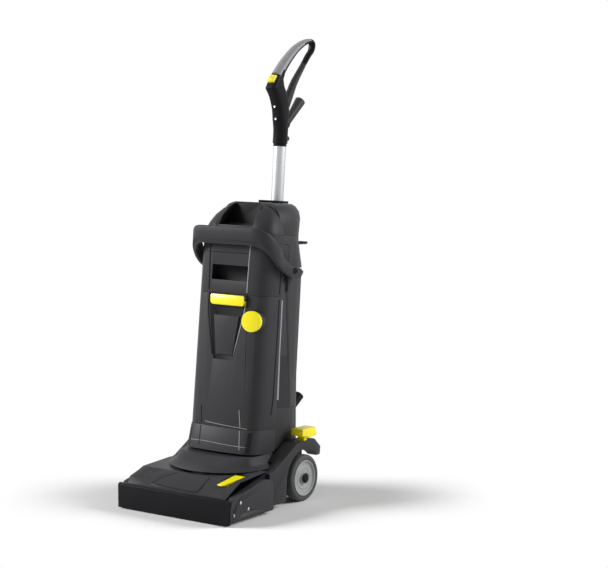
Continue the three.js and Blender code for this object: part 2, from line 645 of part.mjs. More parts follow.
// The suction duct over the rear squeegee, with its pipe back to the column's foot.
function suctionDuct() {
  const [y0, y1] = [rearSqueegeeY - duct.depth / 2, rearSqueegeeY + duct.depth / 2];
  const [z0, z1] = [duct.bottom, duct.bottom + duct.height];
  const channel = block(-duct.half, duct.half, y0, y1, z0, z1);
  const hollow = block(-duct.half + duct.wall, duct.half - duct.wall, y0 + duct.wall, y1 - duct.wall,
    z0 - overrun, z1 - duct.wall);
  const pipeEnd = -collar.back - wall;
  const outer = rodY(duct.pipeRadius, duct.pipeX, duct.pipeZ, y1 - duct.wall / 2, pipeEnd);
  const bore = rodY(duct.pipeRadius - duct.wall, duct.pipeX, duct.pipeZ, y0 + duct.wall, pipeEnd + overrun);
  const cap = block(-duct.half, duct.half, y0, y1, z1, z1 + 2 * duct.pipeRadius);
  return cut(join(cut(channel, hollow), outer), cut(bore, cap));
}

// The release lever on the deck: a round hub on its pin, with a tongue that tapers to the front.
function releaseLever() {
  const [x0, x1] = [lever.right - lever.width, lever.right];
  const [y, z] = [-lever.hubBack, lever.hubHeight];
  const hubBody = rodX(lever.hubRadius, x0, x1, y, z, roundSides);
  const tipY = y - lever.tongueLength + lever.recessGap;
  const tongue = sweepX([[tipY, z - lever.tongueDrop], [y, z - lever.hubRadius], [y + lever.hubRadius / 2, z],
    [y - lever.hubRadius / 2, z + lever.hubRadius], [tipY, z - lever.tongueDrop + lever.tongueThick / 2]], x0, x1);
  const plan = sweepZ([[x0, tipY], [x0 + lever.tipWidth, tipY - overrun], [x1, y - lever.tongueLength / 3],
    [x1, y + 2 * lever.hubRadius], [x0, y + 2 * lever.hubRadius]], 0, head.deckEnd + overrun);
  const reach = lever.recessGap - seam;
  return join(join(hubBody, tongue).intersect(plan), rodX(lever.pinRadius, x0 - reach, x1 + reach, y, z));
}

// The roller, its bearing and its belt drive.
function rollerCore() {
  const half = roller.length / 2;
  const tubeBody = rodX(roller.coreRadius, -half, half, rollerY, rollerZ, roundSides);
  const bore = rodX(roller.coreRadius - roller.coreWall, -half + roller.hubDepth, half + overrun, rollerY, rollerZ,
    roundSides);
  const plug = rodX(roller.coreRadius - roller.coreWall / 2, half - roller.hubDepth, half, rollerY, rollerZ,
    roundSides);
  const pinBore = rodX(roller.pinRadius + seam, half - roller.hubDepth - overrun, half + overrun, rollerY, rollerZ,
    roundSides);
  return cut(join(cut(tubeBody, bore), plug), pinBore);
}

function rollerSleeve() {
  const half = roller.length / 2;
  return cut(
    rodX(roller.radius, -half, half, rollerY, rollerZ, roundSides),
    rodX(roller.coreRadius + seam, -half - overrun, half + overrun, rollerY, rollerZ, roundSides),
  );
}

const beltX = -head.innerWidth / 2 - seam - wall;

// A pulley with its shaft, which runs in to the given end.
function pulley(radius, shaft, shaftEnd, y, z) {
  const x0 = beltX - drive.pulleyWidth;
  return join(
    rodX(radius, x0, beltX, y, z, roundSides),
    rodX(radius + drive.flange, beltX - drive.flange / 2, beltX, y, z, roundSides),
    rodX(shaft, x0, shaftEnd, y, z),
  );
}

function beltOutline(extra) {
  const small = drive.motorPulley + extra;
  const large = drive.rollerPulley + extra;
  const [dy, dz] = [motorY - rollerY, drive.motorHeight - rollerZ];
  const along = THREE.MathUtils.radToDeg(Math.atan2(dz, dy));
  const wrap = THREE.MathUtils.radToDeg(Math.acos((large - small) / Math.hypot(dy, dz)));
  return [
    ...arc(motorY, drive.motorHeight, small, along - wrap, along + wrap, 10),
    ...arc(rollerY, rollerZ, large, along + wrap, along + 360 - wrap, 16),
  ];
}

function driveBelt() {
  const x1 = beltX - drive.flange / 2 - seam;
  return cut(
    sweepX(beltOutline(2 * seam + drive.beltThick), x1 - drive.beltWidth, x1),
    sweepX(beltOutline(2 * seam), x1 - drive.beltWidth - overrun, x1 + overrun),
  );
}

function brushMotor() {
  const middle = -drive.motorOffset;
  const [x0, x1] = [middle - drive.motorLength / 2, middle + drive.motorLength / 2];
  const [y, z] = [motorY, drive.motorHeight];
  const can = rodX(drive.motorRadius, x0, x1, y, z, roundSides);
  const nose = rodX(drive.motorRadius / 2, x0 - wall, x0, y, z, roundSides);
  return cut(join(can, nose), rodX(drive.shaftRadius + seam, x0 - overrun, middle, y, z));
}

function addRollerDrive() {
  const half = roller.length / 2;
  add(base, 'roller_core', rollerCore(), 'grey');
  add(base, 'roller_sleeve', rollerSleeve(), 'microfibre');
  add(base, 'roller_pulley', pulley(drive.rollerPulley, roller.pinRadius, -half - seam, rollerY, rollerZ), 'steel');
  add(base, 'motor_pulley', pulley(drive.motorPulley, drive.shaftRadius, -drive.motorOffset - seam, motorY,
    drive.motorHeight), 'steel');
  add(base, 'drive_belt', driveBelt(), 'belt');
  add(base, 'brush_motor', brushMotor(), 'grey');
}

// Squeegees: a fixed blade in front of the roller, and a bar and blade behind it that the pedal lifts.
function frontBlade() {
  const half = squeegeeHalf;
  const y = -head.front + head.bumperThick + 2 * seam + wall;
  return sweepX([[y, squeegee.frontHeight], [y, squeegee.bladeDepth], [y + squeegee.bladeDepth / 2, 0],
    [y + squeegee.bladeDepth, 0], [y + squeegee.bladeDepth, squeegee.frontHeight]], -half, half);
}

function rearBlade() {
  const half = squeegeeHalf;
  const [y0, y1] = [rearSqueegeeY - squeegee.bladeDepth / 2, rearSqueegeeY + squeegee.bladeDepth / 2];
  return sweepX([[y0, squeegee.bladeHeight], [y0, squeegee.bladeDepth], [rearSqueegeeY, 0], [y1, 0],
    [y1, squeegee.bladeHeight]], -half, half);
}

function rearBar() {
  const half = squeegeeHalf;
  const depth = squeegee.barDepth / 2;
  const z0 = squeegee.bladeHeight - squeegee.barHeight / 2;
  const bar = block(-half, half, rearSqueegeeY - depth, rearSqueegeeY + depth, z0, z0 + squeegee.barHeight);
  const slot = block(-half - overrun, half + overrun, rearSqueegeeY - squeegee.bladeDepth / 2 - seam,
    rearSqueegeeY + squeegee.bladeDepth / 2 + seam, z0 - overrun, squeegee.bladeHeight + seam);
  return cut(bar, slot);
}

add(base, 'chassis_frame', chassis(), 'black');
add(base, 'deck_cover', deckCover(), 'charcoal');
add(base, 'front_bumper', bumper(), 'black');
add(base, 'bearing_cover', rightCover(), 'charcoal');
add(base, 'belt_cover', mirrorX(endCoverShell()), 'charcoal');
coverScrews.forEach(([y, z], i) => add(base, `cover_screw_${i + 1}`, coverScrew(y, z), 'steel'));
add(base, 'collar_hood', collarHood(), 'charcoal');
add(base, 'release_lever', releaseLever(), 'yellow');
addRollerDrive();
add(base, 'front_squeegee_blade', frontBlade(), 'rubber');
add(base, 'rear_squeegee_blade', rearBlade(), 'rubber');
add(base, 'rear_squeegee_bar', rearBar(), 'black');
addWheels();

// The column stands in its own frame: origin on the axle, +Z along the column, leaning back with it.
function wholeOutline(front, half, back, inset = 0) {
  const frontHalf = columnOutline(front, half, { inset }).slice(2);
  const backHalf = backOutline(half + column.halfBack - column.halfFront, back, inset).slice(1, -1);
  return [...backHalf, ...frontHalf];
}

function columnFoot() {
  const inner = foot.radius - foot.cavityWall;
  const top = tray.plateBottom + tray.floor / 2;
  const outline = [...arc(0, 0, foot.radius, 180, 360, 12), [foot.depth / 2, top], [-foot.depth / 2, top]];
  const body = sweepX(outline, -foot.half, foot.half);
  const cavity = block(-foot.half + foot.cavityWall, foot.half - foot.cavityWall, -inner, inner,
    -foot.cavityFloor, tray.plateBottom);
  return cut(join(cut(body, cavity), basePlate()), rodX(axle.radius + seam, -foot.half - overrun, foot.half + overrun, 0, 0, roundSides));
}

function basePlateOutline(grow) {
  const inset = wall + 2 * seam - grow;
  return wholeOutline(tray.front - wall - inset, tray.half - inset, column.back - inset);
}

function basePlate() {
  const plate = sweepZ(basePlateOutline(0), tray.plateBottom, tray.plateBottom + tray.floor);
  return cut(plate, rodZ(pipe.radius - pipe.wall, -pipe.x, pipe.y, 0, tray.top));
}

function tankTray() {
  const levels = (inset, low, high) => [
    { z: low, outline: columnOutline(tray.front, tray.half, { inset, back: column.split }) },
    { z: high, outline: columnOutline(tray.frontTop, column.halfFront, { inset }) },
  ];
  const low = tray.bottom;
  const underCollarTop = block(-machineWidth, machineWidth, -machineWidth, machineWidth, -machineWidth,
    collar.top + seam - wheel.radius).rotate([leanDegrees, 0, 0]);
  const plateRoom = sweepZ(basePlateOutline(seam), low - overrun, tray.plateBottom + tray.floor + seam);
  return cut(loft(levels(0, low, tray.top)), loft(levels(wall, low - overrun, tray.top - wall)), plateRoom,
    underCollarTop);
}

// A stretch of the tank stack between two heights, with its front leaning in towards the top.
function tankStretch(low, high, inset = 0) {
  return loft([
    { z: low, outline: columnOutline(frontAt(low), column.halfFront, { inset }) },
    { z: high, outline: columnOutline(frontAt(high), column.halfFront, { inset }) },
  ]);
}

// Places a piece made against the plane y = 0, z up, onto the leaning front of the tanks.
function onFront(solid) {
  const slope = Math.atan2(column.frontLow - column.frontHigh, dome.bottom - tray.top);
  return solid.rotate([-THREE.MathUtils.radToDeg(slope), 0, 0]).translate([0, -column.frontLow, tray.top]);
}

function tieRecess() {
  const [low, mid] = [tie.lowHeight - tray.top, tie.midHeight - tray.top];
  const top = dome.bottom - tray.top + overrun;
  const half = [[-tie.lowHalf, low], [tie.lowHalf, low], [tie.midHalf, mid], [tie.topHalf, top],
    [-tie.topHalf, top], [-tie.midHalf, mid]];
  return onFront(sweepY(half, -overrun, tie.depth));
}

function latchEars() {
  const [low, high] = [latch.low - tray.top, fresh.top - tray.top - seam];
  return [-1, 1].map((side) => {
    const x = side * (latch.half + seam + (tie.midHalf - latch.half) / 2);
    const half = (tie.midHalf - latch.half) / 2;
    return onFront(block(x - half, x + half, -latch.lipDepth, tie.depth + seam, (low + high) / 2, high));
  });
}

const latchPinY = tie.depth - latch.pinRadius - latch.lipDepth / 2;
const latchPinZ = latch.high - tray.top - latch.lipHeight;

function freshTank() {
  const lidFloor = fresh.top - fresh.neckHeight - fresh.capHeight - fresh.lidThick - 2;
  const body = tankStretch(fresh.bottom, fresh.top);
  const cavity = tankStretch(fresh.bottom + wall, lidFloor + seam, 2 * wall);
  const mouth = tankStretch(lidFloor, fresh.top + overrun, wall);
  const stemHole = knobPlace(rodY(knob.stemRadius + seam, 0, 0, -overrun, 2 * knob.stemLength));
  const shaped = cut(body, tieRecess());
  const shell = cut(join(shaped, ...latchEars()), cut(join(cavity, mouth), frontBacking()), stemHole);
  return cut(shell, onFront(rodX(latch.pinRadius + seam, -tie.topHalf, tie.topHalf, latchPinY, latchPinZ)));
}

// Material kept behind the tie recess, so that the front wall stays whole where the recess cuts in.
function frontBacking() {
  const top = dome.bottom - tray.top;
  return onFront(block(-tie.topHalf - wall, tie.topHalf + wall, -overrun, tie.depth + wall, 0, top));
}

function freshTankLid() {
  const low = fresh.top - fresh.neckHeight - fresh.capHeight - fresh.lidThick - 2 + seam;
  const plate = tankStretch(low, low + fresh.lidThick, wall + seam);
  const neck = rodZ(fresh.neckRadius, 0, -fresh.capSetBack, low, low + fresh.lidThick + fresh.neckHeight);
  const bore = rodZ(fresh.neckRadius - wall, 0, -fresh.capSetBack, low - overrun, fresh.top);
  return cut(join(cut(plate, frontBackingGrown()), neck), bore);
}

function frontBackingGrown() {
  const top = dome.bottom - tray.top;
  return onFront(block(-tie.topHalf - wall - seam, tie.topHalf + wall + seam, -overrun, tie.depth + wall + seam, 0, top));
}

function freshTankCap() {
  const low = fresh.top - fresh.capHeight - fresh.neckHeight + wall;
  const high = fresh.top - wall;
  const body = rodZ(fresh.capRadius, 0, -fresh.capSetBack, low, high);
  const thread = rodZ(fresh.neckRadius + seam, 0, -fresh.capSetBack, low - overrun, high - wall);
  return cut(body, thread);
}

function dirtyTank() {
  const body = cut(tankStretch(dirty.bottom, dirty.top), tieRecess());
  const cavity = tankStretch(dirty.bottom + wall, dirty.top + overrun, wall);
  const [low, high] = [fingerRecess.low - tray.top, fingerRecess.high - tray.top];
  const pocket = (grow) => onFront(block(-fingerRecess.half - grow, fingerRecess.half + grow, -overrun - wall,
    fingerRecess.depth + grow, low - grow, high + grow));
  return cut(body, cut(cavity, frontBacking(), pocket(wall)), pocket(0));
}

// The domed top, cut at the tanks' split line into the tank lid and the rear housing's hood.
function domeBody(inset) {
  const levels = Array.from({ length: dome.steps + 1 }, (_, i) => {
    const angle = (Math.PI / 2) * (i / dome.steps) * 0.92;
    const inwards = 1 - Math.cos(angle);
    const z = dome.bottom + (dome.top - dome.bottom) * (Math.sin(angle) / Math.sin(Math.PI * 0.46));
    const front = column.frontHigh - dome.frontRound * inwards;
    const half = column.halfFront - dome.round * inwards;
    const back = column.back - dome.backRound * inwards;
    return { z: i === 0 && inset ? z - overrun : z - inset, outline: wholeOutline(front, half, back, inset) };
  });
  return loft(levels);
}

function frontHalf(solid, gap = seam / 2) {
  return solid.intersect(block(-machineWidth, machineWidth, -machineWidth, -column.split - gap, 0, handle.top));
}

function backHalf(solid, gap = seam / 2) {
  return solid.intersect(block(-machineWidth, machineWidth, -column.split + gap, machineWidth, 0, handle.top));
}

function scoopTool(grow) {
  const front = -column.frontLow - overrun;
  return sweepZ([[-scoop.frontHalf - grow, front], [scoop.frontHalf + grow, front],
    [scoop.backHalf + grow, -scoop.back + grow], [-scoop.backHalf - grow, -scoop.back + grow]],
  scoop.floor - grow, dome.top + overrun);
}

function tankLid() {
  const outer = frontHalf(domeBody(0));
  const inner = frontHalf(domeBody(wall), wall);
  return cut(outer, cut(inner, scoopTool(wall)), scoopTool(0));
}

function topHood() {
  const tubeHole = rodZ(tube.radius + seam, 0, tube.y, dome.bottom, dome.top + overrun);
  return cut(backHalf(domeBody(0)), backHalf(domeBody(wall), wall), tubeHole);
}

function knobPlace(solid) {
  const surface = -frontAt(knob.height) + column.crown + 1;
  return solid.rotate([0, 0, knob.turn]).translate([knob.x, surface, knob.height]);
}

function dosingKnob() {
  const start = -knob.collarStand - seam;
  const disc = rodY(knob.radius, 0, 0, start - knob.thick, start, roundSides);
  const stem = rodY(knob.stemRadius, 0, 0, start - seam, knob.stemLength);
  return knobPlace(join(disc, stem));
}

function knobCollar() {
  const body = rodY(knob.collarRadius, 0, 0, -knob.collarStand, knob.collarRadius);
  const bore = rodY(knob.stemRadius + seam, 0, 0, -knob.radius, 2 * knob.radius);
  const clear = tankStretch(fresh.bottom, fresh.top, -seam);
  return cut(knobPlace(cut(body, bore)), clear);
}

function tankLatch() {
  const [low, high] = [latch.low - tray.top, latch.high - tray.top];
  const back = tie.depth - seam;
  const round = back - latchPinY;
  const side = sweepX([[back, low], [back, latchPinZ], ...arc(latchPinY, latchPinZ, round, 0, 90, 3),
    [back - latch.thick + wall / 2, high], [back - latch.thick, high - wall], [back - latch.thick, low + wall],
    [back - latch.thick + wall / 2, low]], -latch.half, latch.half);
  const corner = latch.cornerRadius;
  const plan = sweepY([
    [-latch.half, high + overrun], ...arc(-latch.half + corner, low + corner, corner, 180, 270, 3),
    ...arc(latch.half - corner, low + corner, corner, 270, 360, 3), [latch.half, high + overrun],
  ], -latch.thick - overrun, back + overrun);
  const pinHalf = tie.midHalf - seam;
  return onFront(join(side.intersect(plan), rodX(latch.pinRadius, -pinHalf, pinHalf, latchPinY, latchPinZ)));
}

function shieldPlate() {
  const [low, high] = [shield.low - tray.top, shield.high - tray.top];
  const back = tie.depth - seam;
  return onFront(sweepY([[-shield.lowHalf, low], [shield.lowHalf, low], [shield.highHalf, high],
    [-shield.highHalf, high]], back - shield.thick, back));
}

function lowerHousing() {
  const low = tray.plateBottom + tray.floor + seam;
  const outline = (inset) => backOutline(column.halfBack, column.back, inset);
  const body = sweepZ(outline(0), low, rearHousing.lowerTop);
  const hollow = sweepZ(outline(wall), low - overrun, rearHousing.lowerTop - wall);
  return cut(body, hollow, rodZ(pipe.radius + seam, -pipe.x, pipe.y, low, rearHousing.lowerTop + overrun));
}

function rearHousingShell() {
  const outline = (inset) => backOutline(column.halfBack, column.back, inset);
  const low = rearHousing.lowerTop + seam;
  const body = sweepZ(outline(0), low, rearHousing.top);
  const below = sweepZ(outline(wall), low - overrun, turbineTop + seam);
  const above = sweepZ(outline(wall), turbineTop + seam + wall, rearHousing.top + overrun);
  const eye = rodZ(turbine.eye, turbine.x, turbine.y, turbineTop, turbineTop + 2 * wall);
  const pipeHole = rodZ(pipe.radius + seam, -pipe.x, pipe.y, turbineTop, turbineTop + 2 * wall);
  const pinHole = rodX(bail.pinRadius + seam, -machineWidth, machineWidth, -bail.pivotY, bail.pivotZ);
  const socketRadius = column.back - wall / 2 - tube.y;
  const socket = rodZ(socketRadius, 0, tube.y, tube.bottom - wall - seam, rearHousing.top);
  const bore = rodZ(tube.radius + seam, 0, tube.y, tube.bottom - seam, rearHousing.top + overrun);
  return cut(join(cut(body, below, above), socket), bore, eye, pipeHole, pinHole);
}

const turbineTop = turbine.bottom + turbine.height;

function turbineHousing() {
  const { x, y } = turbine;
  return cut(
    rodZ(turbine.radius, x, y, turbine.bottom, turbineTop),
    rodZ(turbine.radius - turbine.wall, x, y, turbine.bottom + turbine.wall, turbineTop - turbine.wall),
    rodZ(turbine.eye, x, y, turbineTop - overrun, turbineTop + overrun),
    rodZ(turbine.shaftRadius + seam, x, y, turbine.bottom - overrun, turbine.bottom + overrun),
  );
}

function turbineFan() {
  const { x, y } = turbine;
  const z0 = turbine.bottom + 2 * turbine.wall;
  const plate = rodZ(turbine.fanRadius, x, y, z0, z0 + turbine.bladeThick);
  const core = rodZ(2 * turbine.shaftRadius, x, y, z0, z0 + turbine.fanHeight);
  const blades = Array.from({ length: turbine.blades }, (_, i) => {
    const half = turbine.bladeThick / 2;
    return block(turbine.shaftRadius + wall, turbine.fanRadius - half, -half, half, z0, z0 + turbine.fanHeight)
      .rotate([0, 0, (360 * i) / turbine.blades]).translate([x, y, 0]);
  });
  const shaft = rodZ(turbine.shaftRadius, x, y, turbine.bottom - seam - 2 * overrun + seam, z0 + turbine.fanHeight);
  return join(plate, core, shaft, ...blades);
}

function turbineMotor() {
  const { x, y } = turbine;
  const low = turbine.bottom - turbine.motorHeight;
  const motor = rodZ(turbine.motorRadius, x, y, low, turbine.bottom + turbine.wall / 2);
  const shaftHole = rodZ(turbine.shaftRadius + seam, x, y, turbine.bottom - 2 * overrun - seam, turbineTop);
  return cut(join(motor, turbineHousing()), shaftHole);
}

function suctionPipe() {
  const z0 = tray.plateBottom + tray.floor + seam;
  return cut(rodZ(pipe.radius, -pipe.x, pipe.y, z0, pipe.top),
    rodZ(pipe.radius - pipe.wall, -pipe.x, pipe.y, z0 - overrun, pipe.top + overrun));
}

// The carry bail: a side profile swept across the column, opened inside by its plan.
function bailHandle() {
  const top = [[-bail.barFront, 595], [-136, 592], [-112, 576], [-88, 544], [-60, 517], [-29, 516], [-6, 500]];
  const under = [[-12, 488], [-42, 485], [-66, 481], [-93, 504], [-121, 533], [-138, 562], [-bail.barFront + 3, 569]];
  const profile = sweepX([...top, ...under], -bail.half, bail.half);
  const plan = (half, front, corner) => sweepZ([
    [half, bail.half], [-half, bail.half], ...arc(-half + corner, -front + corner, corner, 180, 270, 6),
    ...arc(half - corner, -front + corner, corner, 270, 360, 6)], dirty.bottom, dome.top);
  const outer = plan(bail.half, bail.barFront, bail.cornerRadius);
  const inner = plan(bail.inner, bail.barInner, bail.innerCorner);
  return join(cut(profile.intersect(outer), inner), bailPin(), mirrorX(bailPin()));
}

function bailPin() {
  const shank = rodX(bail.pinRadius, column.halfBack - bail.pinSink, bail.half, -bail.pivotY, bail.pivotZ);
  const cap = rodX(bail.pinHead, bail.inner, bail.half + bail.pinHeadThick, -bail.pivotY, bail.pivotZ, roundSides);
  return join(shank, cap);
}

// The rear ledge, seated on the rounded back of the housing.
function seatedOnBack(solid, low, high) {
  return cut(solid, sweepZ(backOutline(column.halfBack + seam, column.back + seam), low, high));
}

function rearLedge() {
  const back = column.back + ledge.length;
  const corner = ledge.cornerRadius;
  const plan = sweepZ([
    [-ledge.half, 0], [ledge.half, 0], ...arc(ledge.half - corner, back - corner, corner, 0, 90, 4),
    ...arc(-ledge.half + corner, back - corner, corner, 90, 180, 4)], ledge.low, ledge.low + ledge.thick);
  const side = sweepX([[0, ledge.low], [back, ledge.low + ledge.thick - ledge.tipThick],
    [back, ledge.low + ledge.thick], [0, ledge.low + ledge.thick]], -ledge.half, ledge.half);
  return seatedOnBack(plan.intersect(side), ledge.low - overrun, ledge.low + ledge.thick + overrun);
}

function hookBody(place, x) {
  const from = new THREE.Vector3(x, place.rootY, place.rootZ);
  const to = new THREE.Vector3(x, place.tipY, place.tipZ);
  return rodBetween(from, to, cordHook.rootRadius, cordHook.tipRadius, roundSides);
}

function lowerCordHook() {
  const root = block(lowerHook.x - cordHook.rootRadius, lowerHook.x + cordHook.rootRadius, 0,
    lowerHook.rootY + cordHook.rootRadius, lowerHook.rootZ - 2 * cordHook.rootRadius,
    lowerHook.rootZ + cordHook.rootRadius);
  return seatedOnBack(join(hookBody(lowerHook, lowerHook.x), root), 0, rearHousing.top);
}

function upperCordHook() {
  const baseY = tube.y + handle.sleeveRadius + seam;
  const flange = rodY(upperHook.baseRadius, 0, upperHook.rootZ, baseY, baseY + upperHook.baseThick);
  const before = block(-machineWidth, machineWidth, 0, baseY, 0, handle.top);
  return cut(join(hookBody(upperHook, 0), flange), before);
}

// Tube and collar plate.
function addTube() {
  const { y, radius } = tube;
  add(tilting, 'handle_tube', cut(
    rodZ(radius, 0, y, tube.bottom, tube.top),
    rodZ(radius - tube.wall, 0, y, tube.bottom - overrun, tube.top + overrun),
  ), 'tubeSteel');
  const z0 = dome.top + seam;
  const plate = sweepZ([[-wedge.half, wedge.back], [-wedge.half, 0], [-wedge.tipHalf, -wedge.tip],
    [wedge.tipHalf, -wedge.tip], [wedge.half, 0], [wedge.half, wedge.back]], z0, z0 + wedge.thick);
  add(tilting, 'tube_collar', cut(plate, rodZ(radius + seam, 0, y, z0 - overrun, z0 + 2 * wedge.thick)), 'black');
}

// A side outline swept across the middle plane with rounded long edges.
function sweepRounded(outline, half, bevel) {
  const shape = new THREE.Shape(outline.map(([y, z]) => new THREE.Vector2(y, z)));
  const geometry = new THREE.ExtrudeGeometry(shape, {
    depth: 2 * (half - bevel), steps: 1, bevelEnabled: true, bevelThickness: bevel, bevelSize: bevel,
    bevelOffset: -bevel, bevelSegments: 3,
  });
  geometry.applyMatrix4(new THREE.Matrix4().set(0, 0, 1, bevel - half, 1, 0, 0, 0, 0, 1, 0, 0, 0, 0, 0, 1));
  return toSolid(geometry);
}

// Places a piece made on the plane z = 0, with +Y pointing up the slope, onto the handle's switch face.
function onSwitchFace(solid) {
  const [dy, dz] = [handle.faceTopY - handle.faceLowY, handle.faceTopZ - handle.faceLowZ];
  const tilt = THREE.MathUtils.radToDeg(Math.atan2(dz, dy));
  return solid.rotate([tilt, 0, 0]).translate([0, handle.faceLowY + dy / 2, handle.faceLowZ + dz / 2]);
}

function neckBody() {
  const outline = [
    [tube.y - handle.sleeveRadius, handle.sleeveBottom], [25, 865], [20, 895], [8, 918], [-7, 936],
    [handle.faceLowY, 942], [handle.faceLowY, handle.faceLowZ], [handle.faceTopY, handle.faceTopZ],
    [handle.topFrontY, handle.topFrontZ], [handle.topBackY, handle.topBackZ], [46, 968], [51, 948], [59, 941], [66, 925],
    [64, 900], [tube.y + handle.sleeveRadius, 870], [tube.y + handle.sleeveRadius, handle.sleeveBottom],
  ];
  const outer = sweepRounded(outline.reverse(), handle.half, handle.bevel);
  const sleeve = rodZ(handle.sleeveRadius, 0, tube.y, handle.sleeveBottom, handle.sleeveBottom + 2 * tube.radius);
  const below = block(-machineWidth, machineWidth, -machineWidth, machineWidth, 0, handle.sleeveBottom);
  return cut(join(outer, sleeve), below, rodZ(tube.radius + seam, 0, tube.y, handle.sleeveBottom - overrun,
    tube.top + seam));
}

const loopPoints = [[20, 973], [32, 989], [74, 1026], [111, 1049], [138, 1059], [154, 1056], [157, 1043],
  [148, 1028], [125, 996], [62, 905]];

// A stretch of the handle's loop between two shares of its length, whose oval section changes along it.
function loopTube(from, to, start, end, steps) {
  const whole = new THREE.CatmullRomCurve3(loopPoints.map(([y, z]) => new THREE.Vector3(0, y, z)));
  const sides = 14;
  const positions = [];
  for (let i = 0; i <= steps; i += 1) {
    const share = i / steps;
    const centre = whole.getPointAt(from + (to - from) * share);
    const along = whole.getTangentAt(from + (to - from) * share);
    const across = start.across + (end.across - start.across) * share;
    const through = start.through + (end.through - start.through) * share;
    for (let side = 0; side < sides; side += 1) {
      const angle = (2 * Math.PI * side) / sides;
      const lift = through * Math.sin(angle);
      positions.push(across * Math.cos(angle), centre.y - along.z * lift, centre.z + along.y * lift);
    }
  }
  const faces = [];
  for (let ring = 0; ring < steps; ring += 1) {
    for (let side = 0; side < sides; side += 1) {
      const next = (side + 1) % sides;
      const [a, b] = [ring * sides + side, ring * sides + next];
      const [c, d] = [a + sides, b + sides];
      faces.push(a, d, b, a, c, d);
    }
  }
  for (let side = 1; side < sides - 1; side += 1) {
    const last = steps * sides;
    faces.push(0, side, side + 1, last, last + side + 1, last + side);
  }
  const geometry = new THREE.BufferGeometry();
  geometry.setAttribute('position', new THREE.Float32BufferAttribute(positions, 3));
  geometry.setIndex(faces);
  return toSolid(geometry);
}

function addHandle() {
  const middle = tube.y;
  const behind = (start) => block(-machineWidth, machineWidth, start, machineWidth, 0, handle.top);
  const before = (end) => block(-machineWidth, machineWidth, -machineWidth, end, 0, handle.top);
  const neck = neckBody();
  const tubeBore = rodZ(tube.radius + seam, 0, tube.y, 0, tube.top + seam);
  const slot = onSwitchFace(block(-slider.width / 2 - seam, slider.width / 2 + seam, -slider.slotLength / 2,
    slider.slotLength / 2, -slider.well, 2 * overrun));
  const screwHoles = handle.screwHeights.flatMap((z) => screwSolids(z, seam));
  const gripBody = loopTube(0, grip.endShare, grip.start, grip.end, 12);
  const gripStart = onNeckTop(block(-machineWidth, machineWidth, -machineWidth, machineWidth, -machineWidth, seam));
  const leg = loopTube(grip.endShare + grip.gapShare, 1, grip.end, grip.legEnd, 16);
  add(tilting, 'handle_front_shell', cut(neck, behind(middle - seam / 2), slot, ...screwHoles), 'black');
  add(tilting, 'handle_rear_shell', cut(
    join(cut(neck, before(middle + seam / 2)), cut(leg, before(middle + wall))), tubeBore, ...screwHoles,
  ), 'black');
  add(tilting, 'handle_grip', cut(gripBody, gripStart), 'grey');
  handle.screwHeights.forEach((z, i) => add(tilting, `handle_screw_${i + 1}`, join(...screwSolids(z, 0)), 'steel'));
  add(tilting, 'power_switch', onSwitchFace(switchButton()), 'yellow');
  add(tilting, 'cord_gland', cordGland(), 'rubber');
  add(tilting, 'upper_cord_hook', upperCordHook(), 'black');
}

// Places a piece made above the plane z = 0 onto the neck's top, where the grip starts.
function onNeckTop(solid) {
  const { topFrontY, topFrontZ, topBackY, topBackZ } = handle;
  const slope = Math.atan2(topBackZ - topFrontZ, topBackY - topFrontY);
  return solid.rotate([THREE.MathUtils.radToDeg(slope), 0, 0]).translate([0, topFrontY, topFrontZ]);
}

// The on-off slide: a ribbed button at the upper end of its slot.
function switchButton() {
  const end = slider.slotLength / 2 - seam;
  const start = end - slider.length;
  const body = sweepX([[start, -slider.well + seam], [end, -slider.well + seam], [end, slider.rise - wall],
    [end - wall, slider.rise], [start + wall / 2, slider.rise], [start, slider.rise - wall]],
  -slider.width / 2, slider.width / 2);
  const ribs = Array.from({ length: 3 }, (_, i) => {
    const y = start + (slider.length * (i + 1)) / 4;
    return block(-slider.width / 2 + wall, slider.width / 2 - wall, y - wall / 4, y + wall / 4, 0, slider.rise + wall / 4);
  });
  return join(body, ...ribs);
}

function screwSolids(z, grow) {
  const head = tube.y - handle.sleeveRadius + handle.screwSink;
  const open = grow ? handle.screwOpen : handle.screwHead;
  return [
    rodY(handle.screwRadius + grow, 0, z, head - open, head + grow, smallSides),
    rodY(handle.screwRadius / 2 + grow, 0, z, head - handle.screwHead / 2, tube.y + handle.screwBite + grow, smallSides),
  ];
}

function cordGland() {
  const start = tube.y + handle.sleeveRadius + seam;
  const body = rodY(gland.radius, 0, handle.sleeveBottom + 2 * gland.radius, start, start + gland.length);
  const bore = rodY(gland.radius / 2, 0, handle.sleeveBottom + 2 * gland.radius, start + wall,
    start + gland.length + overrun);
  return cut(body, bore);
}

add(base, 'fender_left', mirrorX(fenderSide(false)), 'charcoal');
add(base, 'fender_right', fenderSide(true), 'charcoal');
add(base, 'foot_pedal', footPedal(), 'yellow');
add(base, 'suction_duct', suctionDuct(), 'black');

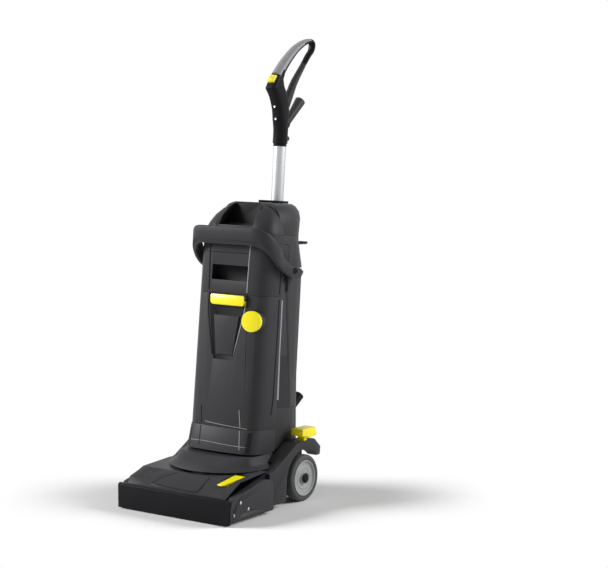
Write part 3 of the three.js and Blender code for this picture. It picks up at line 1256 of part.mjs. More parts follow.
add(tilting, 'column_foot', columnFoot(), 'black');
add(tilting, 'tank_tray', tankTray(), 'charcoal');
add(tilting, 'lower_housing', lowerHousing(), 'charcoal');
add(tilting, 'rear_housing', rearHousingShell(), 'charcoal');
add(tilting, 'top_hood', topHood(), 'charcoal');
add(tilting, 'fresh_tank', freshTank(), 'charcoal');
add(tilting, 'fresh_tank_lid', freshTankLid(), 'lid');
add(tilting, 'fresh_tank_cap', freshTankCap(), 'grey');
add(tilting, 'dirty_tank', dirtyTank(), 'charcoal');
add(tilting, 'tank_lid', tankLid(), 'charcoal');
add(tilting, 'tank_latch', tankLatch(), 'yellow');
add(tilting, 'shield_plate', shieldPlate(), 'grey');
add(tilting, 'dosing_knob', dosingKnob(), 'yellow');
add(tilting, 'knob_collar', knobCollar(), 'grey');
add(tilting, 'turbine_motor', turbineMotor(), 'black');
add(tilting, 'turbine_fan', turbineFan(), 'grey');
add(tilting, 'suction_pipe', suctionPipe(), 'grey');
add(tilting, 'bail_handle', bailHandle(), 'charcoal');
add(tilting, 'rear_ledge', rearLedge(), 'black');
add(tilting, 'lower_cord_hook', lowerCordHook(), 'black');
addTube();
addHandle();

tilting.position.z = wheel.radius;
tilting.rotation.x = -leanRadians;

const machine = new THREE.Group();
machine.add(base, tilting);
const extent = new THREE.Box3().setFromObject(machine, true);
machine.position.y = -(extent.min.y + extent.max.y) / 2;

export default machine;
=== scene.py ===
"""The looks of an upright floor scrubber drier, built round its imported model."""

import json
import math

import bmesh
import bpy
from bpy.props import FloatProperty, FloatVectorProperty, IntProperty, PointerProperty
from mathutils import Matrix, Vector
from mathutils.bvhtree import BVHTree


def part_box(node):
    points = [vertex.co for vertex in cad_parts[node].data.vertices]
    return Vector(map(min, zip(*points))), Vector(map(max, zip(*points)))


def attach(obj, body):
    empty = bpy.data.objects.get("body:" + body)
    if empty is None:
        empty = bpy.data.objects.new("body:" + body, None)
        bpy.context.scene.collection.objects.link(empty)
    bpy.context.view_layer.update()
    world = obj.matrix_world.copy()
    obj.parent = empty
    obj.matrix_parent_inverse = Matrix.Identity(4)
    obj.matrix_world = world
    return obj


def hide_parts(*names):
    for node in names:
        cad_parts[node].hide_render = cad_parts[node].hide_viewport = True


bl_info = {
    "name": "Floor scrubber",
    "version": (1, 0, 0),
    "blender": (4, 5, 0),
    "location": "3D View > Sidebar > Scrubber",
    "description": "Dresses the packed model of an upright floor scrubber drier",
    "category": "Object",
}

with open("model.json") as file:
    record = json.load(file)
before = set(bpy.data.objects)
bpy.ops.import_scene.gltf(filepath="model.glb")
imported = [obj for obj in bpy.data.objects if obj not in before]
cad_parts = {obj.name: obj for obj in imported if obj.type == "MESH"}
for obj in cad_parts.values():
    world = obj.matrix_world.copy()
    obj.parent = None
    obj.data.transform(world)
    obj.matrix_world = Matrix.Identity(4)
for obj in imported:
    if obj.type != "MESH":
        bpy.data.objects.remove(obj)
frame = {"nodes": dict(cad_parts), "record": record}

MM = 0.001
LEAN = math.radians(5)


def middle(node):
    low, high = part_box(node)
    return (low + high) / 2


# Pieces are drawn in millimetres. Those of the head stand on the floor with y = 0 at the axle, and those of
# the column stand on the axle and lean back with it.
AXLE = middle("axle")
HEAD = Matrix.Translation((0, AXLE.y, 0)) @ Matrix.Scale(MM, 4)
COLUMN = Matrix.Translation(AXLE) @ Matrix.Rotation(-LEAN, 4, "X") @ Matrix.Scale(MM, 4)
BODY_OF = {node: body for body, nodes in frame["record"]["behaviour"]["bodies"].items() for node in nodes}
SLOT_OF = {row["node"]: row["material_slot"] for row in frame["record"]["subparts"]}


def linear(code):
    """An sRGB hex colour as linear red, green, blue and alpha."""
    shares = [int(code[i:i + 2], 16) / 255 for i in (0, 2, 4)]
    return (*[c / 12.92 if c <= 0.04045 else ((c + 0.055) / 1.055) ** 2.4 for c in shares], 1.0)


def colour(code, name, description):
    return FloatVectorProperty(name=name, description=description, subtype="COLOR", size=4, min=0, max=1,
                               default=linear(code))


def length(value, name, description):
    return FloatProperty(name=name, description=description, subtype="DISTANCE", unit="LENGTH", min=0,
                         default=value * MM)


class ScrubberColours(bpy.types.PropertyGroup):
    """Colours of the machine's finishes"""
    charcoal: colour("39393b", "Charcoal", "Grained dark grey ABS of the covers and tanks")
    # Black also finishes the painted shade in the tanks' grooves, recesses and scoop.
    black: colour("1b1b1d", "Black", "Satin black ABS of the bumper, bail and handle")
    dark: colour("1d1d1f", "Dark", "Plain dark polypropylene inside the tanks")
    # Grey also finishes the painted highlights on the tanks' and housing's edges.
    grey: colour("8a8b8d", "Grey", "Soft-touch grey of the grip")
    disc: colour("98999a", "Wheel disc", "Light grey nylon of the wheel discs")
    yellow: colour("f4e600", "Yellow", "Yellow ABS of everything the hand or foot works")
    tyre: colour("474748", "Tyre", "Soft dark rubber of the tyres")
    rubber: colour("161617", "Rubber", "Black rubber of the squeegee blades and gland")
    steel: colour("c4c6c8", "Steel", "Zinc-plated steel of screws, axle and pulleys")
    tube: colour("b2b4b6", "Tube", "Anodised aluminium of the handle tube")
    pile: colour("f1f2ee", "Pile", "White microfibre of the roller")
    stripe: colour("5da777", "Stripe", "Green scrubbing yarn of the roller")


class ScrubberSizes(bpy.types.PropertyGroup):
    """Sizes that finish the machine's pieces"""
    edge: length(1.6, "Edge", "Rounding of the big mouldings' edges")
    fine_edge: length(0.8, "Fine edge", "Rounding of small pieces' edges")
    grain: length(2.2, "Grain", "Spacing of the moulded grain, coarser than the real 0.3 mm so that it shows")
    stripe_pitch: length(21, "Stripe pitch", "Distance between the roller's pairs of stripes")
    sides: IntProperty(name="Sides", description="Sides of the turned pieces", min=12, max=128, default=64)


class ScrubberStage(bpy.types.PropertyGroup):
    """Camera and lamps"""
    lens: FloatProperty(name="Lens", description="Focal length on a 36 mm sensor", default=104.8, min=1,
                        subtype="DISTANCE_CAMERA")
    key: FloatProperty(name="Key", description="Light from the front left, from above", default=3.8, min=0)
    rim: FloatProperty(name="Rim", description="Light from behind the right side", default=2.6, min=0)
    fill: FloatProperty(name="Fill", description="Brightness of the surroundings", default=0.12, min=0)


def settings():
    scene = bpy.context.scene
    return scene.scrubber_colours, scene.scrubber_sizes, scene.scrubber_stage


# Materials.
def add_node(tree, kind, values=None, links=None, **options):
    """Adds a shader node with its options, its socket values and its links."""
    made = tree.nodes.new("ShaderNode" + kind)
    for name, value in options.items():
        setattr(made, name, value)
    for socket, value in (values or {}).items():
        made.inputs[socket].default_value = value
    for socket, source in (links or {}).items():
        tree.links.new(source, made.inputs[socket])
    return made


def new_material(name):
    """An empty material, with its tree and the Object coordinates that its patterns read."""
    material = bpy.data.materials.new(name)
    material.use_nodes = True
    tree = material.node_tree
    tree.nodes.clear()
    return material, tree, add_node(tree, "TexCoord").outputs["Object"]


def shade(tree, values, links):
    """Closes a material with its shader and output."""
    shader = add_node(tree, "BsdfPrincipled", values, links)
    add_node(tree, "OutputMaterial", links={"Surface": shader.outputs["BSDF"]})


def toned(base, share):
    return (*[c * share for c in base[:3]], 1.0)


def grained(name, base, roughness, grain, depth, tone=0.08, **shader):
    """A moulded surface: a fine grain in relief, with slow changes of tone and gloss over a hand's width."""
    material, tree, place = new_material(name)
    fine = add_node(tree, "TexNoise", {"Scale": 1 / grain, "Detail": 3}, {"Vector": place})
    slow = add_node(tree, "TexNoise", {"Scale": 1 / (60 * MM), "Detail": 2}, {"Vector": place})
    mixed = add_node(tree, "Mix", {6: toned(base, 1 - tone), 7: toned(base, 1 + tone)},
                     {0: slow.outputs["Fac"]}, data_type="RGBA")
    gloss = add_node(tree, "MapRange", {"To Min": roughness - 0.05, "To Max": roughness + 0.05},
                     {"Value": slow.outputs["Fac"]})
    relief = add_node(tree, "Bump", {"Strength": 0.5, "Distance": depth}, {"Height": fine.outputs["Fac"]})
    shade(tree, {"IOR": 1.5, **shader}, {"Base Color": mixed.outputs[2], "Roughness": gloss.outputs[0],
                                         "Normal": relief.outputs["Normal"]})
    return material


def charcoal_abs(colours, sizes):
    # ABS moulded against a spark-eroded tool: dark grey, matt, its grain breaking up the highlights.
    return grained("charcoal_abs_grained", colours.charcoal, 0.42, sizes.grain, 0.12 * MM,
                   **{"Specular IOR Level": 0.08})


def black_abs_and_painted_shade(colours, sizes):
    # ABS moulded against a finer tool: near black and a little glossier than the covers. Beads and faces in it also
    # stand for painted shade in grooves, recesses and the scoop.
    return grained("black_abs_satin_and_painted_shade", colours.black, 0.38, sizes.grain, 0.08 * MM,
                   **{"Specular IOR Level": 0.06})


def inner_plastic(colours, sizes):
    # Polypropylene: plain, dark and slightly waxy.
    return grained("dark_polypropylene", colours.dark, 0.5, 3 * sizes.grain, 0.05 * MM)


def soft_grey_and_painted_highlight(colours, sizes):
    # Soft-touch elastomer over ABS: mid grey, matt, with a dry broad highlight. Beads in it on the tanks and housing
    # are painted highlights.
    return grained("grey_soft_touch_and_painted_highlight", colours.grey, 0.55, sizes.grain, 0.06 * MM)


def disc_nylon(colours, sizes):
    # Glass-filled nylon: light grey, with the faint cloudy flow marks of its fibres.
    return grained("grey_nylon_glass_filled", colours.disc, 0.5, 1.5 * sizes.grain, 0.1 * MM, tone=0.14)


def yellow_abs(colours, sizes):
    # Polished ABS: clean yellow with a clear small highlight.
    return grained("yellow_abs_polished", colours.yellow, 0.3, 4 * sizes.grain, 0.03 * MM, tone=0.03)


def tyre_rubber(colours, sizes):
    # Vulcanised rubber: dark, dry and rough.
    return grained("tyre_rubber", colours.tyre, 0.72, sizes.grain, 0.15 * MM, **{"Specular IOR Level": 0.35})


def blade_rubber(colours, sizes):
    # Natural rubber sheet: black and matt.
    return grained("blade_rubber_sheet", colours.rubber, 0.65, 2 * sizes.grain, 0.05 * MM)


def belt_rubber(colours, sizes):
    # Reinforced rubber: black, with the weave of its backing.
    material, tree, place = new_material("belt_rubber_woven")
    weave = add_node(tree, "TexWave", {"Scale": 1 / (8 * MM), "Distortion": 0.3}, {"Vector": place},
                     bands_direction="DIAGONAL")
    tone = add_node(tree, "Mix", {6: toned(colours.rubber, 0.7), 7: colours.rubber}, {0: weave.outputs["Fac"]},
                    data_type="RGBA")
    relief = add_node(tree, "Bump", {"Strength": 0.4, "Distance": 0.2 * MM}, {"Height": weave.outputs["Fac"]})
    shade(tree, {"Roughness": 0.75}, {"Base Color": tone.outputs[2], "Normal": relief.outputs["Normal"]})
    return material


def brushed(name, base, roughness, across, along):
    """A drawn or brushed metal, whose fine scratches run along one axis."""
    material, tree, place = new_material(name)
    stretched = add_node(tree, "Mapping", {"Scale": (1 / across, 1 / across, 1 / along)}, {"Vector": place})
    lines = add_node(tree, "TexNoise", {"Scale": 1.0, "Detail": 3}, {"Vector": stretched.outputs["Vector"]})
    tone = add_node(tree, "Mix", {6: toned(base, 0.9), 7: toned(base, 1.0)}, {0: lines.outputs["Fac"]},
                    data_type="RGBA")
    gloss = add_node(tree, "MapRange", {"To Min": roughness - 0.07, "To Max": roughness + 0.07},
                     {"Value": lines.outputs["Fac"]})
    relief = add_node(tree, "Bump", {"Strength": 0.3, "Distance": 0.03 * MM}, {"Height": lines.outputs["Fac"]})
    shade(tree, {"Metallic": 1.0}, {"Base Color": tone.outputs[2], "Roughness": gloss.outputs[0],
                                    "Normal": relief.outputs["Normal"]})
    return material


def zinc_steel(colours, sizes):
    # Zinc-plated steel: bright, cool, faintly clouded.
    return brushed("steel_zinc_plated", colours.steel, 0.32, 1.5 * MM, 6 * MM)


def tube_aluminium(colours, sizes):
    # Anodised aluminium tube: light silver, drawn along its length.
    return brushed("aluminium_anodised", colours.tube, 0.5, 1.2 * MM, 80 * MM)


def microfibre_pile(colours, sizes):
    # Microfibre pile: white tufts about 2 mm apart, with pairs of green yarn wound round as a helix, and painted
    # shade between the tufts.
    material, tree, place = new_material("microfibre_pile")
    axis = middle("roller_sleeve")
    centred = add_node(tree, "Mapping", {"Location": -axis}, {"Vector": place})
    parts = add_node(tree, "SeparateXYZ", links={"Vector": centred.outputs["Vector"]})
    turn = add_node(tree, "Math", links={0: parts.outputs["Y"], 1: parts.outputs["Z"]}, operation="ARCTAN2")
    wound = add_node(tree, "Math", {1: sizes.stripe_pitch / (2 * math.pi)}, {0: turn.outputs[0]},
                     operation="MULTIPLY")
    along = add_node(tree, "Math", links={0: parts.outputs["X"], 1: wound.outputs[0]}, operation="ADD")
    repeats = add_node(tree, "Math", {1: sizes.stripe_pitch}, {0: along.outputs[0]}, operation="PINGPONG")
    # A stripe about 3 mm wide stands 4 mm to either side of each pair's middle.
    beside = add_node(tree, "Math", {1: 4 * MM}, {0: repeats.outputs[0]}, operation="SUBTRACT")
    away = add_node(tree, "Math", links={0: beside.outputs[0]}, operation="ABSOLUTE")
    yarn = add_node(tree, "MapRange", {"From Min": 1.2 * MM, "From Max": 2.0 * MM, "To Min": 1.0, "To Max": 0.0},
                    {"Value": away.outputs[0]})
    tufts = add_node(tree, "TexVoronoi", {"Scale": 1 / (2.4 * MM)}, {"Vector": place})
    shadow = add_node(tree, "Mix", {6: colours.pile, 7: toned(colours.pile, 0.72)},
                      {0: tufts.outputs["Distance"]}, data_type="RGBA")
    dyed = add_node(tree, "Mix", {7: colours.stripe}, {0: yarn.outputs[0], 6: shadow.outputs[2]},
                    data_type="RGBA")
    relief = add_node(tree, "Bump", {"Strength": 0.8, "Distance": 0.6 * MM}, {"Height": tufts.outputs["Distance"]})
    relief.invert = True
    shade(tree, {"Roughness": 0.95, "Sheen Weight": 0.3}, {"Base Color": dyed.outputs[2],
                                                           "Normal": relief.outputs["Normal"]})
    return material


FINISHES = {
    "charcoal_plastic": charcoal_abs,
    "black_plastic": black_abs_and_painted_shade,
    "dark_plastic": inner_plastic,
    "grey_plastic": soft_grey_and_painted_highlight,
    "disc_grey": disc_nylon,
    "yellow_plastic": yellow_abs,
    "tyre": tyre_rubber,
    "rubber": blade_rubber,
    "belt_rubber": belt_rubber,
    "steel": zinc_steel,
    "tube_metal": tube_aluminium,
    "microfibre": microfibre_pile,
}
# Some beads in BLACK are painted shade, and some in GREY painted highlights.
BLACK, CHARCOAL, GREY = "black_plastic", "charcoal_plastic", "grey_plastic"
made_finishes = {}
# The body that each piece rides on.
RIDES = {}


def finish(slot):
    """The material of one of the record's slots, made the first time that a piece asks for it."""
    if slot not in made_finishes:
        colours, sizes, _ = settings()
        made_finishes[slot] = FINISHES[slot](colours, sizes)
    return made_finishes[slot]


# Shapes.
def soften(bm, edge, angle=30, segments=3, spare=()):
    """Rounds every edge sharper than the angle that is long enough and touches none of the spared points."""
    limit = math.radians(angle)
    edges = [e for e in bm.edges if e.is_manifold and e.calc_face_angle() > limit and e.calc_length() > 2.5 * edge
             and not any(vert in spare for vert in e.verts)]
    if edges and edge:
        bmesh.ops.bevel(bm, geom=edges, offset=edge, offset_type="OFFSET", affect="EDGES", segments=segments,
                        profile=0.5, material=-1, clamp_overlap=False, miter_outer="ARC")


def make_piece(name, bm, slot, body, stands_for=(), place=None, smooth=38, look=None):
    """Puts a shape in place in metres, and makes it a piece that rides on its body."""
    if place:
        bmesh.ops.transform(bm, matrix=place, verts=bm.verts)
    bmesh.ops.remove_doubles(bm, verts=bm.verts, dist=0.002 * MM)
    bmesh.ops.recalc_face_normals(bm, faces=bm.faces)
    mesh = bpy.data.meshes.new(name)
    bm.to_mesh(mesh)
    bm.free()
    mesh.shade_smooth()
    mesh.set_sharp_from_angle(angle=math.radians(smooth))
    mesh.materials.append(finish(look or slot))
    piece = bpy.data.objects.new(name, mesh)
    bpy.context.scene.collection.objects.link(piece)
    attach(piece, body)
    RIDES[piece.name] = body
    if stands_for:
        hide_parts(*stands_for)
    return piece


def dress(node, edge, angle=30, place=COLUMN, shape=None, look=None, cuts=(), crisp=None):
    """Stands in for a node: merged, cut where its shape bends anew, reshaped, and its sharp edges rounded.

    The shape is a function of a point's x, y and z in the place's millimetres, and gives the point's new ones.
    Points for which crisp is true keep their edges sharp.
    """
    bm = bmesh.new()
    bm.from_mesh(frame["nodes"][node].data)
    bmesh.ops.remove_doubles(bm, verts=bm.verts, dist=0.02 * MM)
    for point, normal in cuts:
        bmesh.ops.bisect_plane(bm, geom=[*bm.verts, *bm.edges, *bm.faces], dist=0.01 * MM,
                               plane_co=place @ Vector(point), plane_no=place.to_3x3() @ Vector(normal))
    if shape:
        inverse = place.inverted()
        for vert in bm.verts:
            vert.co = place @ Vector(shape(*(inverse @ vert.co)))
    bmesh.ops.dissolve_limit(bm, angle_limit=math.radians(1), verts=bm.verts, edges=bm.edges)
    spare = {vert for vert in bm.verts if crisp and crisp(*(place.inverted() @ vert.co))}
    soften(bm, edge, angle, spare=spare)
    return make_piece(f"{node}_finished", bm, SLOT_OF[node], BODY_OF[node], stands_for=(node,), look=look)


def paint(*nodes):
    """Gives nodes that keep their own shape their finish."""
    for node in nodes:
        mesh = frame["nodes"][node].data
        mesh.materials.clear()
        mesh.materials.append(finish(SLOT_OF[node]))


def turned(profile, steps, closed=False):
    """A profile of (along, radius) points turned about the X axis."""
    bm = bmesh.new()
    verts = [bm.verts.new((along, 0, radius)) for along, radius in profile]
    edges = [bm.edges.new(pair) for pair in zip(verts, verts[1:])]
    if closed:
        edges.append(bm.edges.new((verts[-1], verts[0])))
    bmesh.ops.spin(bm, geom=verts + edges, cent=(0, 0, 0), axis=(1, 0, 0), dvec=(0, 0, 0),
                   angle=2 * math.pi, steps=steps, use_merge=True, use_duplicate=False)
    bmesh.ops.remove_doubles(bm, verts=bm.verts, dist=0.001)
    bmesh.ops.recalc_face_normals(bm, faces=bm.faces)
    return bm


def ring_skin(bm, rings):
    """Lays the first ring, extrudes it on to each next one, and closes both ends."""
    verts = [bm.verts.new(point) for point in rings[0]]
    count = len(verts)
    edges = [bm.edges.new((verts[i], verts[(i + 1) % count])) for i in range(count)]
    bm.faces.new(verts)
    for ring in rings[1:]:
        made = bmesh.ops.extrude_edge_only(bm, edges=edges)["geom"]
        fresh = {item for item in made if isinstance(item, bmesh.types.BMVert)}
        verts = [next(e.other_vert(v) for e in v.link_edges if e.other_vert(v) in fresh) for v in verts]
        edges = [bm.edges.get((verts[i], verts[(i + 1) % count])) for i in range(count)]
        for vert, point in zip(verts, ring):
            vert.co = point
    bm.faces.new(verts)


def rail(bm, points, radius, sides=8, flat=1.0, up=(0, -1, 0)):
    """A bead along a line of points, flattened along the direction that it stands out in."""
    points = [Vector(p) for p in points]
    rings = []
    for i, point in enumerate(points):
        along = (points[min(i + 1, len(points) - 1)] - points[max(i - 1, 0)]).normalized()
        across = along.cross(Vector(up)).normalized()
        out = across.cross(along).normalized()
        turns = [2 * math.pi * side / sides for side in range(sides)]
        rings.append([point + across * radius * math.cos(t) + out * radius * flat * math.sin(t) for t in turns])
    ring_skin(bm, rings)


def ramp(value, start, end):
    """How far a value has come from one number to another, held between 0 and 1."""
    return max(0.0, min(1.0, (value - start) / (end - start)))


def between(rows, at):
    """The numbers of a table at a place between its rows, which rise by their first number."""
    if at <= rows[0][0]:
        return rows[0][1:]
    for low, high in zip(rows, rows[1:]):
        if at <= high[0]:
            share = (at - low[0]) / (high[0] - low[0])
            return [a + (b - a) * share for a, b in zip(low[1:], high[1:])]
    return rows[-1][1:]


def smooth_rows(rows, steps):
    """A table with more rows, on curves through all that it has."""
    made = []
    last = len(rows) - 1
    for i in range(last):
        around = (rows[max(i - 1, 0)], rows[i], rows[i + 1], rows[min(i + 2, last)])
        for t in (step / steps for step in range(steps)):
            made.append([(2 * q + (r - p) * t + (2 * p - 5 * q + 4 * r - s) * t ** 2
                          + (3 * q - p - 3 * r + s) * t ** 3) / 2 for p, q, r, s in zip(*around)])
    return [*made, list(rows[-1])]


def lay_bead(name, pieces, points, toward, width, slot, place=COLUMN, flat=0.5):
    """A bead laid along a line on finished pieces, each of its points dropped on to them along a direction. Some
    beads are painted shade in grooves, some painted highlights on edges.
    """
    carriers = [bpy.data.objects[piece] for piece in pieces]
    bm = bmesh.new()
    for carrier in carriers:
        bm.from_mesh(carrier.data)
    bmesh.ops.transform(bm, matrix=place.inverted(), verts=bm.verts)
    tree = BVHTree.FromBMesh(bm)
    bm.free()
    toward = Vector(toward)
    laid = []
    for start, end in zip(points, points[1:]):
        start, end = Vector(start), Vector(end)
        steps = max(1, round((end - start).length / 6))
        for i in range(steps + (1 if end == Vector(points[-1]) else 0)):
            aim = start.lerp(end, i / steps)
            hit = tree.ray_cast(aim - toward * 400, toward, 800)[0]
            if hit is None:
                raise RuntimeError(f"{name} leaves its pieces at {aim}")
            laid.append(hit)
    bead = bmesh.new()
    rail(bead, laid, width / 2, flat=flat, up=-toward)
    return make_piece(name, bead, slot, RIDES[carriers[0].name], place=place)


# The tanks' front: how far ahead of the axle it is at its foot and at its top, and how far it falls back to the
# ends of its flat part.
FRONT_FOOT, FRONT_TOP = (118, 147), (585.3, 134)
FLAT_HALF, CROWN = 70, 6


def front_skin(x, height):
    """The depth of the tanks' front at a width and height."""
    (low, foot), (high, top) = FRONT_FOOT, FRONT_TOP
    return -(foot + (top - foot) * (height - low) / (high - low)) + CROWN * (x / FLAT_HALF) ** 2


def collar_shape(x, y, z):
    """Flares the collar out over the deck."""
    low = ramp(z, 125, 98)
    return x * (1 + 0.13 * low ** 2), (y * (1 - 0.03 * low) if y < -150 else y), z


# How much the deck's left end stands up over its node behind the bumper.
SHOULDER = ((-304.7, 0), (-303, 6), (-292, 12), (-262, 4), (-240, 0))
SHOULDER_CUTS = [*[((0, y, 0), (0, 1, 0)) for y, _ in SHOULDER[1:]], ((-120, 0, 0), (1, 0, 0)),
                 ((-60, 0, 0), (1, 0, 0))]


def deck_shape(x, y, z):
    """Raises the deck's left end to a shoulder behind the bumper."""
    lift, = between(SHOULDER, y)
    return x, y, z + (lift * ramp(x, -60, -120) if z > 50 else 0)


def pedal_shape(x, y, z):
    """Shortens the pedal's tread to a square pad on its stem, and tapers it below."""
    tread = ramp(z, 150, 160)
    return x, y + tread * (20 + (y - 18) * 0.56 - y), (z if z > 166 or z < 150 else z - (z - 150) * 0.3)


def lever_shape(x, y, z):
    """Lifts the lever's hand end out of its well and draws it out to the front."""
    tip = ramp(y, -210, -257)
    return 115 + (x - 115) * (1 + 0.12 * tip), y - 14 * tip, z + 5.5 * tip


# How the top narrows, by height: the lid's width and depth, the hood's width and depth, in shares of the node's.
TOP_SHARES = (
    (585.3, 0.99, 0.99, 0.881, 0.92), (600, 0.961, 0.95, 0.89, 0.93), (612, 0.935, 0.84, 0.898, 0.94),
    (624, 0.904, 0.823, 0.902, 0.97), (636, 0.873, 0.733, 0.911, 1.0), (648, 0.82, 0.6, 0.912, 1.0),
    (661, 0.62, 0.7, 0.904, 1.0),
)
LID_BACK, SCOOP_FLOOR = -62.1, 597
# What the hood's and the housing's waist takes off their width and depth at its narrowest, in shares.
WAIST_ACROSS, WAIST_DEEP = 0.1, 0.05


def narrowed(x, y, z, across, deep, waist=0.0):
    """A point moved in to shares of the width and, behind the middle, of the depth."""
    return x * (across - WAIST_ACROSS * waist), (y * (deep - WAIST_DEEP * waist) if y > 0 else y), z


def lid_shape(x, y, z):
    """Narrows the lid to its crown, and sinks its scoop."""
    if abs(x) < 64 and abs(z - 612) < 6:
        z -= 612 - SCOOP_FLOOR
    across, deep, _, _ = between(TOP_SHARES, z)
    return x * across, LID_BACK + (y - LID_BACK) * deep, z


def hood_shape(x, y, z):
    """Narrows the hood, and gives its lower part a waist to the back."""
    _, _, across, deep = between(TOP_SHARES, z)
    return narrowed(x, y, z, across, deep, ramp(y, -20, 60) * ramp(z, 640, 600))


# The rear housing is a little narrower than its node, and steps in under the hood and over the ledge.
HOUSING_SHARES = ((150, 0.995, 1.0), (168, 0.975, 0.95), (548, 0.975, 0.95), (566, 0.881, 0.92))
LOWER_SHARES = ((67, 0.995, 1.1), (110, 0.99, 1.12), (168, 0.975, 0.95))


def housing_shape(x, y, z):
    """Narrows the rear housing, and carries the hood's waist on down to the ledge."""
    across, deep = between(HOUSING_SHARES, z)
    return narrowed(x, y, z, across, deep, ramp(y, -20, 60) * ramp(z, 548, 566))


def lower_shape(x, y, z):
    """Fills the lower housing out to the back over the axle."""
    return narrowed(x, y, z, *between(LOWER_SHARES, z))


class SCRUBBER_OT_head(bpy.types.Operator):
    """Chassis, deck, bumper, end covers and collar of the head"""
    bl_idname = "scrubber.head"
    bl_label = "Head"

    def execute(self, context):
        _, sizes, _ = settings()
        paint("chassis_frame", "suction_duct")
        dress("deck_cover", sizes.edge, place=HEAD, shape=deck_shape, cuts=SHOULDER_CUTS,
              crisp=lambda x, y, z: x > 80 and -275 < y < -180)
        dress("front_bumper", sizes.fine_edge, place=HEAD,
              shape=lambda x, y, z: (x * 1.064, -305 + (y + 305) * 2.2, 3 + (z - 3) * 1.08))
        dress("belt_cover", sizes.edge)
        dress("bearing_cover", sizes.edge)
        dress("collar_hood", sizes.edge, place=HEAD, shape=collar_shape)
        self.lines()
        return {"FINISHED"}

    def lines(self):
        """The deck's panel, and the grooves of the right end cover."""
        deck, down = ("deck_cover_finished",), (0, 0, -1)
        lay_bead("deck_panel_front", deck, [(-76, -291, 0), (-66, -294, 0), (50, -296, 0), (59, -292, 0),
                                        (62, -268, 0)], down, 2, BLACK, HEAD)
        lay_bead("deck_panel_left", deck, [(-76, -291, 0), (-62, -268, 0), (-46, -258, 0), (-33, -250, 0)], down, 2,
             BLACK, HEAD)
        for i in range(6):
            y = -286 + 5 * i
            lay_bead(f"deck_rib_{i + 1}", deck, [(-98 + 1.5 * i, y, 0), (-80 + 2.5 * i, y, 0)], down, 2,
                 CHARCOAL, HEAD, flat=0.9)
        cover, inward = ("bearing_cover_finished",), (-1, 0, 0)
        lay_bead("cover_groove", cover, [(0, -256, 66), (0, -272, 60), (0, -284, 49), (0, -294, 34), (0, -298, 22),
                                     (0, -300, 12)], inward, 2.2, BLACK, HEAD)
        lay_bead("cover_ridge", cover, [(0, -250, 64), (0, -266, 57), (0, -278, 46), (0, -288, 31)], inward, 1.6,
             CHARCOAL, HEAD, flat=1.0)


SCREW_EDGE = 0.4 * MM


class SCRUBBER_OT_screws(bpy.types.Operator):
    """Star-headed screws of the end cover"""
    bl_idname = "scrubber.screws"
    bl_label = "Screws"

    def execute(self, context):
        for node in ("cover_screw_1", "cover_screw_2", "cover_screw_3"):
            dress(node, SCREW_EDGE)
        return {"FINISHED"}


class SCRUBBER_OT_roller(bpy.types.Operator):
    """Microfibre roller on its core"""
    bl_idname = "scrubber.roller"
    bl_label = "Roller"

    def execute(self, context):
        _, sizes, _ = settings()
        low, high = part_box("roller_sleeve")
        centre, half, radius = (low + high) / 2, (high.x - low.x) / 2, (high.z - low.z) / 2
        bore = (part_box("roller_core")[1].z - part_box("roller_core")[0].z) / 2 + 0.3 * MM
        round_over = 4 * MM
        steps = 70
        outside = [(-half + round_over + (2 * half - 2 * round_over) * i / steps, radius) for i in range(steps + 1)]
        profile = [(-half, bore), (-half, radius - round_over), *outside, (half, radius - round_over), (half, bore)]
        bm = turned([(a / MM, r / MM) for a, r in profile], sizes.sides, closed=True)
        make_piece("roller_pile", bm, "microfibre", "roller", stands_for=("roller_sleeve",),
                   place=Matrix.Translation(centre) @ Matrix.Scale(MM, 4), smooth=60)
        paint("roller_core", "roller_pulley", "motor_pulley", "drive_belt", "brush_motor")
        return {"FINISHED"}


class SCRUBBER_OT_squeegees(bpy.types.Operator):
    """Rubber blades before and behind the roller"""
    bl_idname = "scrubber.squeegees"
    bl_label = "Squeegees"

    def execute(self, context):
        paint("front_squeegee_blade", "rear_squeegee_blade", "rear_squeegee_bar")
        return {"FINISHED"}


# How much wider the caps' rims are than their nodes.
CAP_SHARE = 1.45


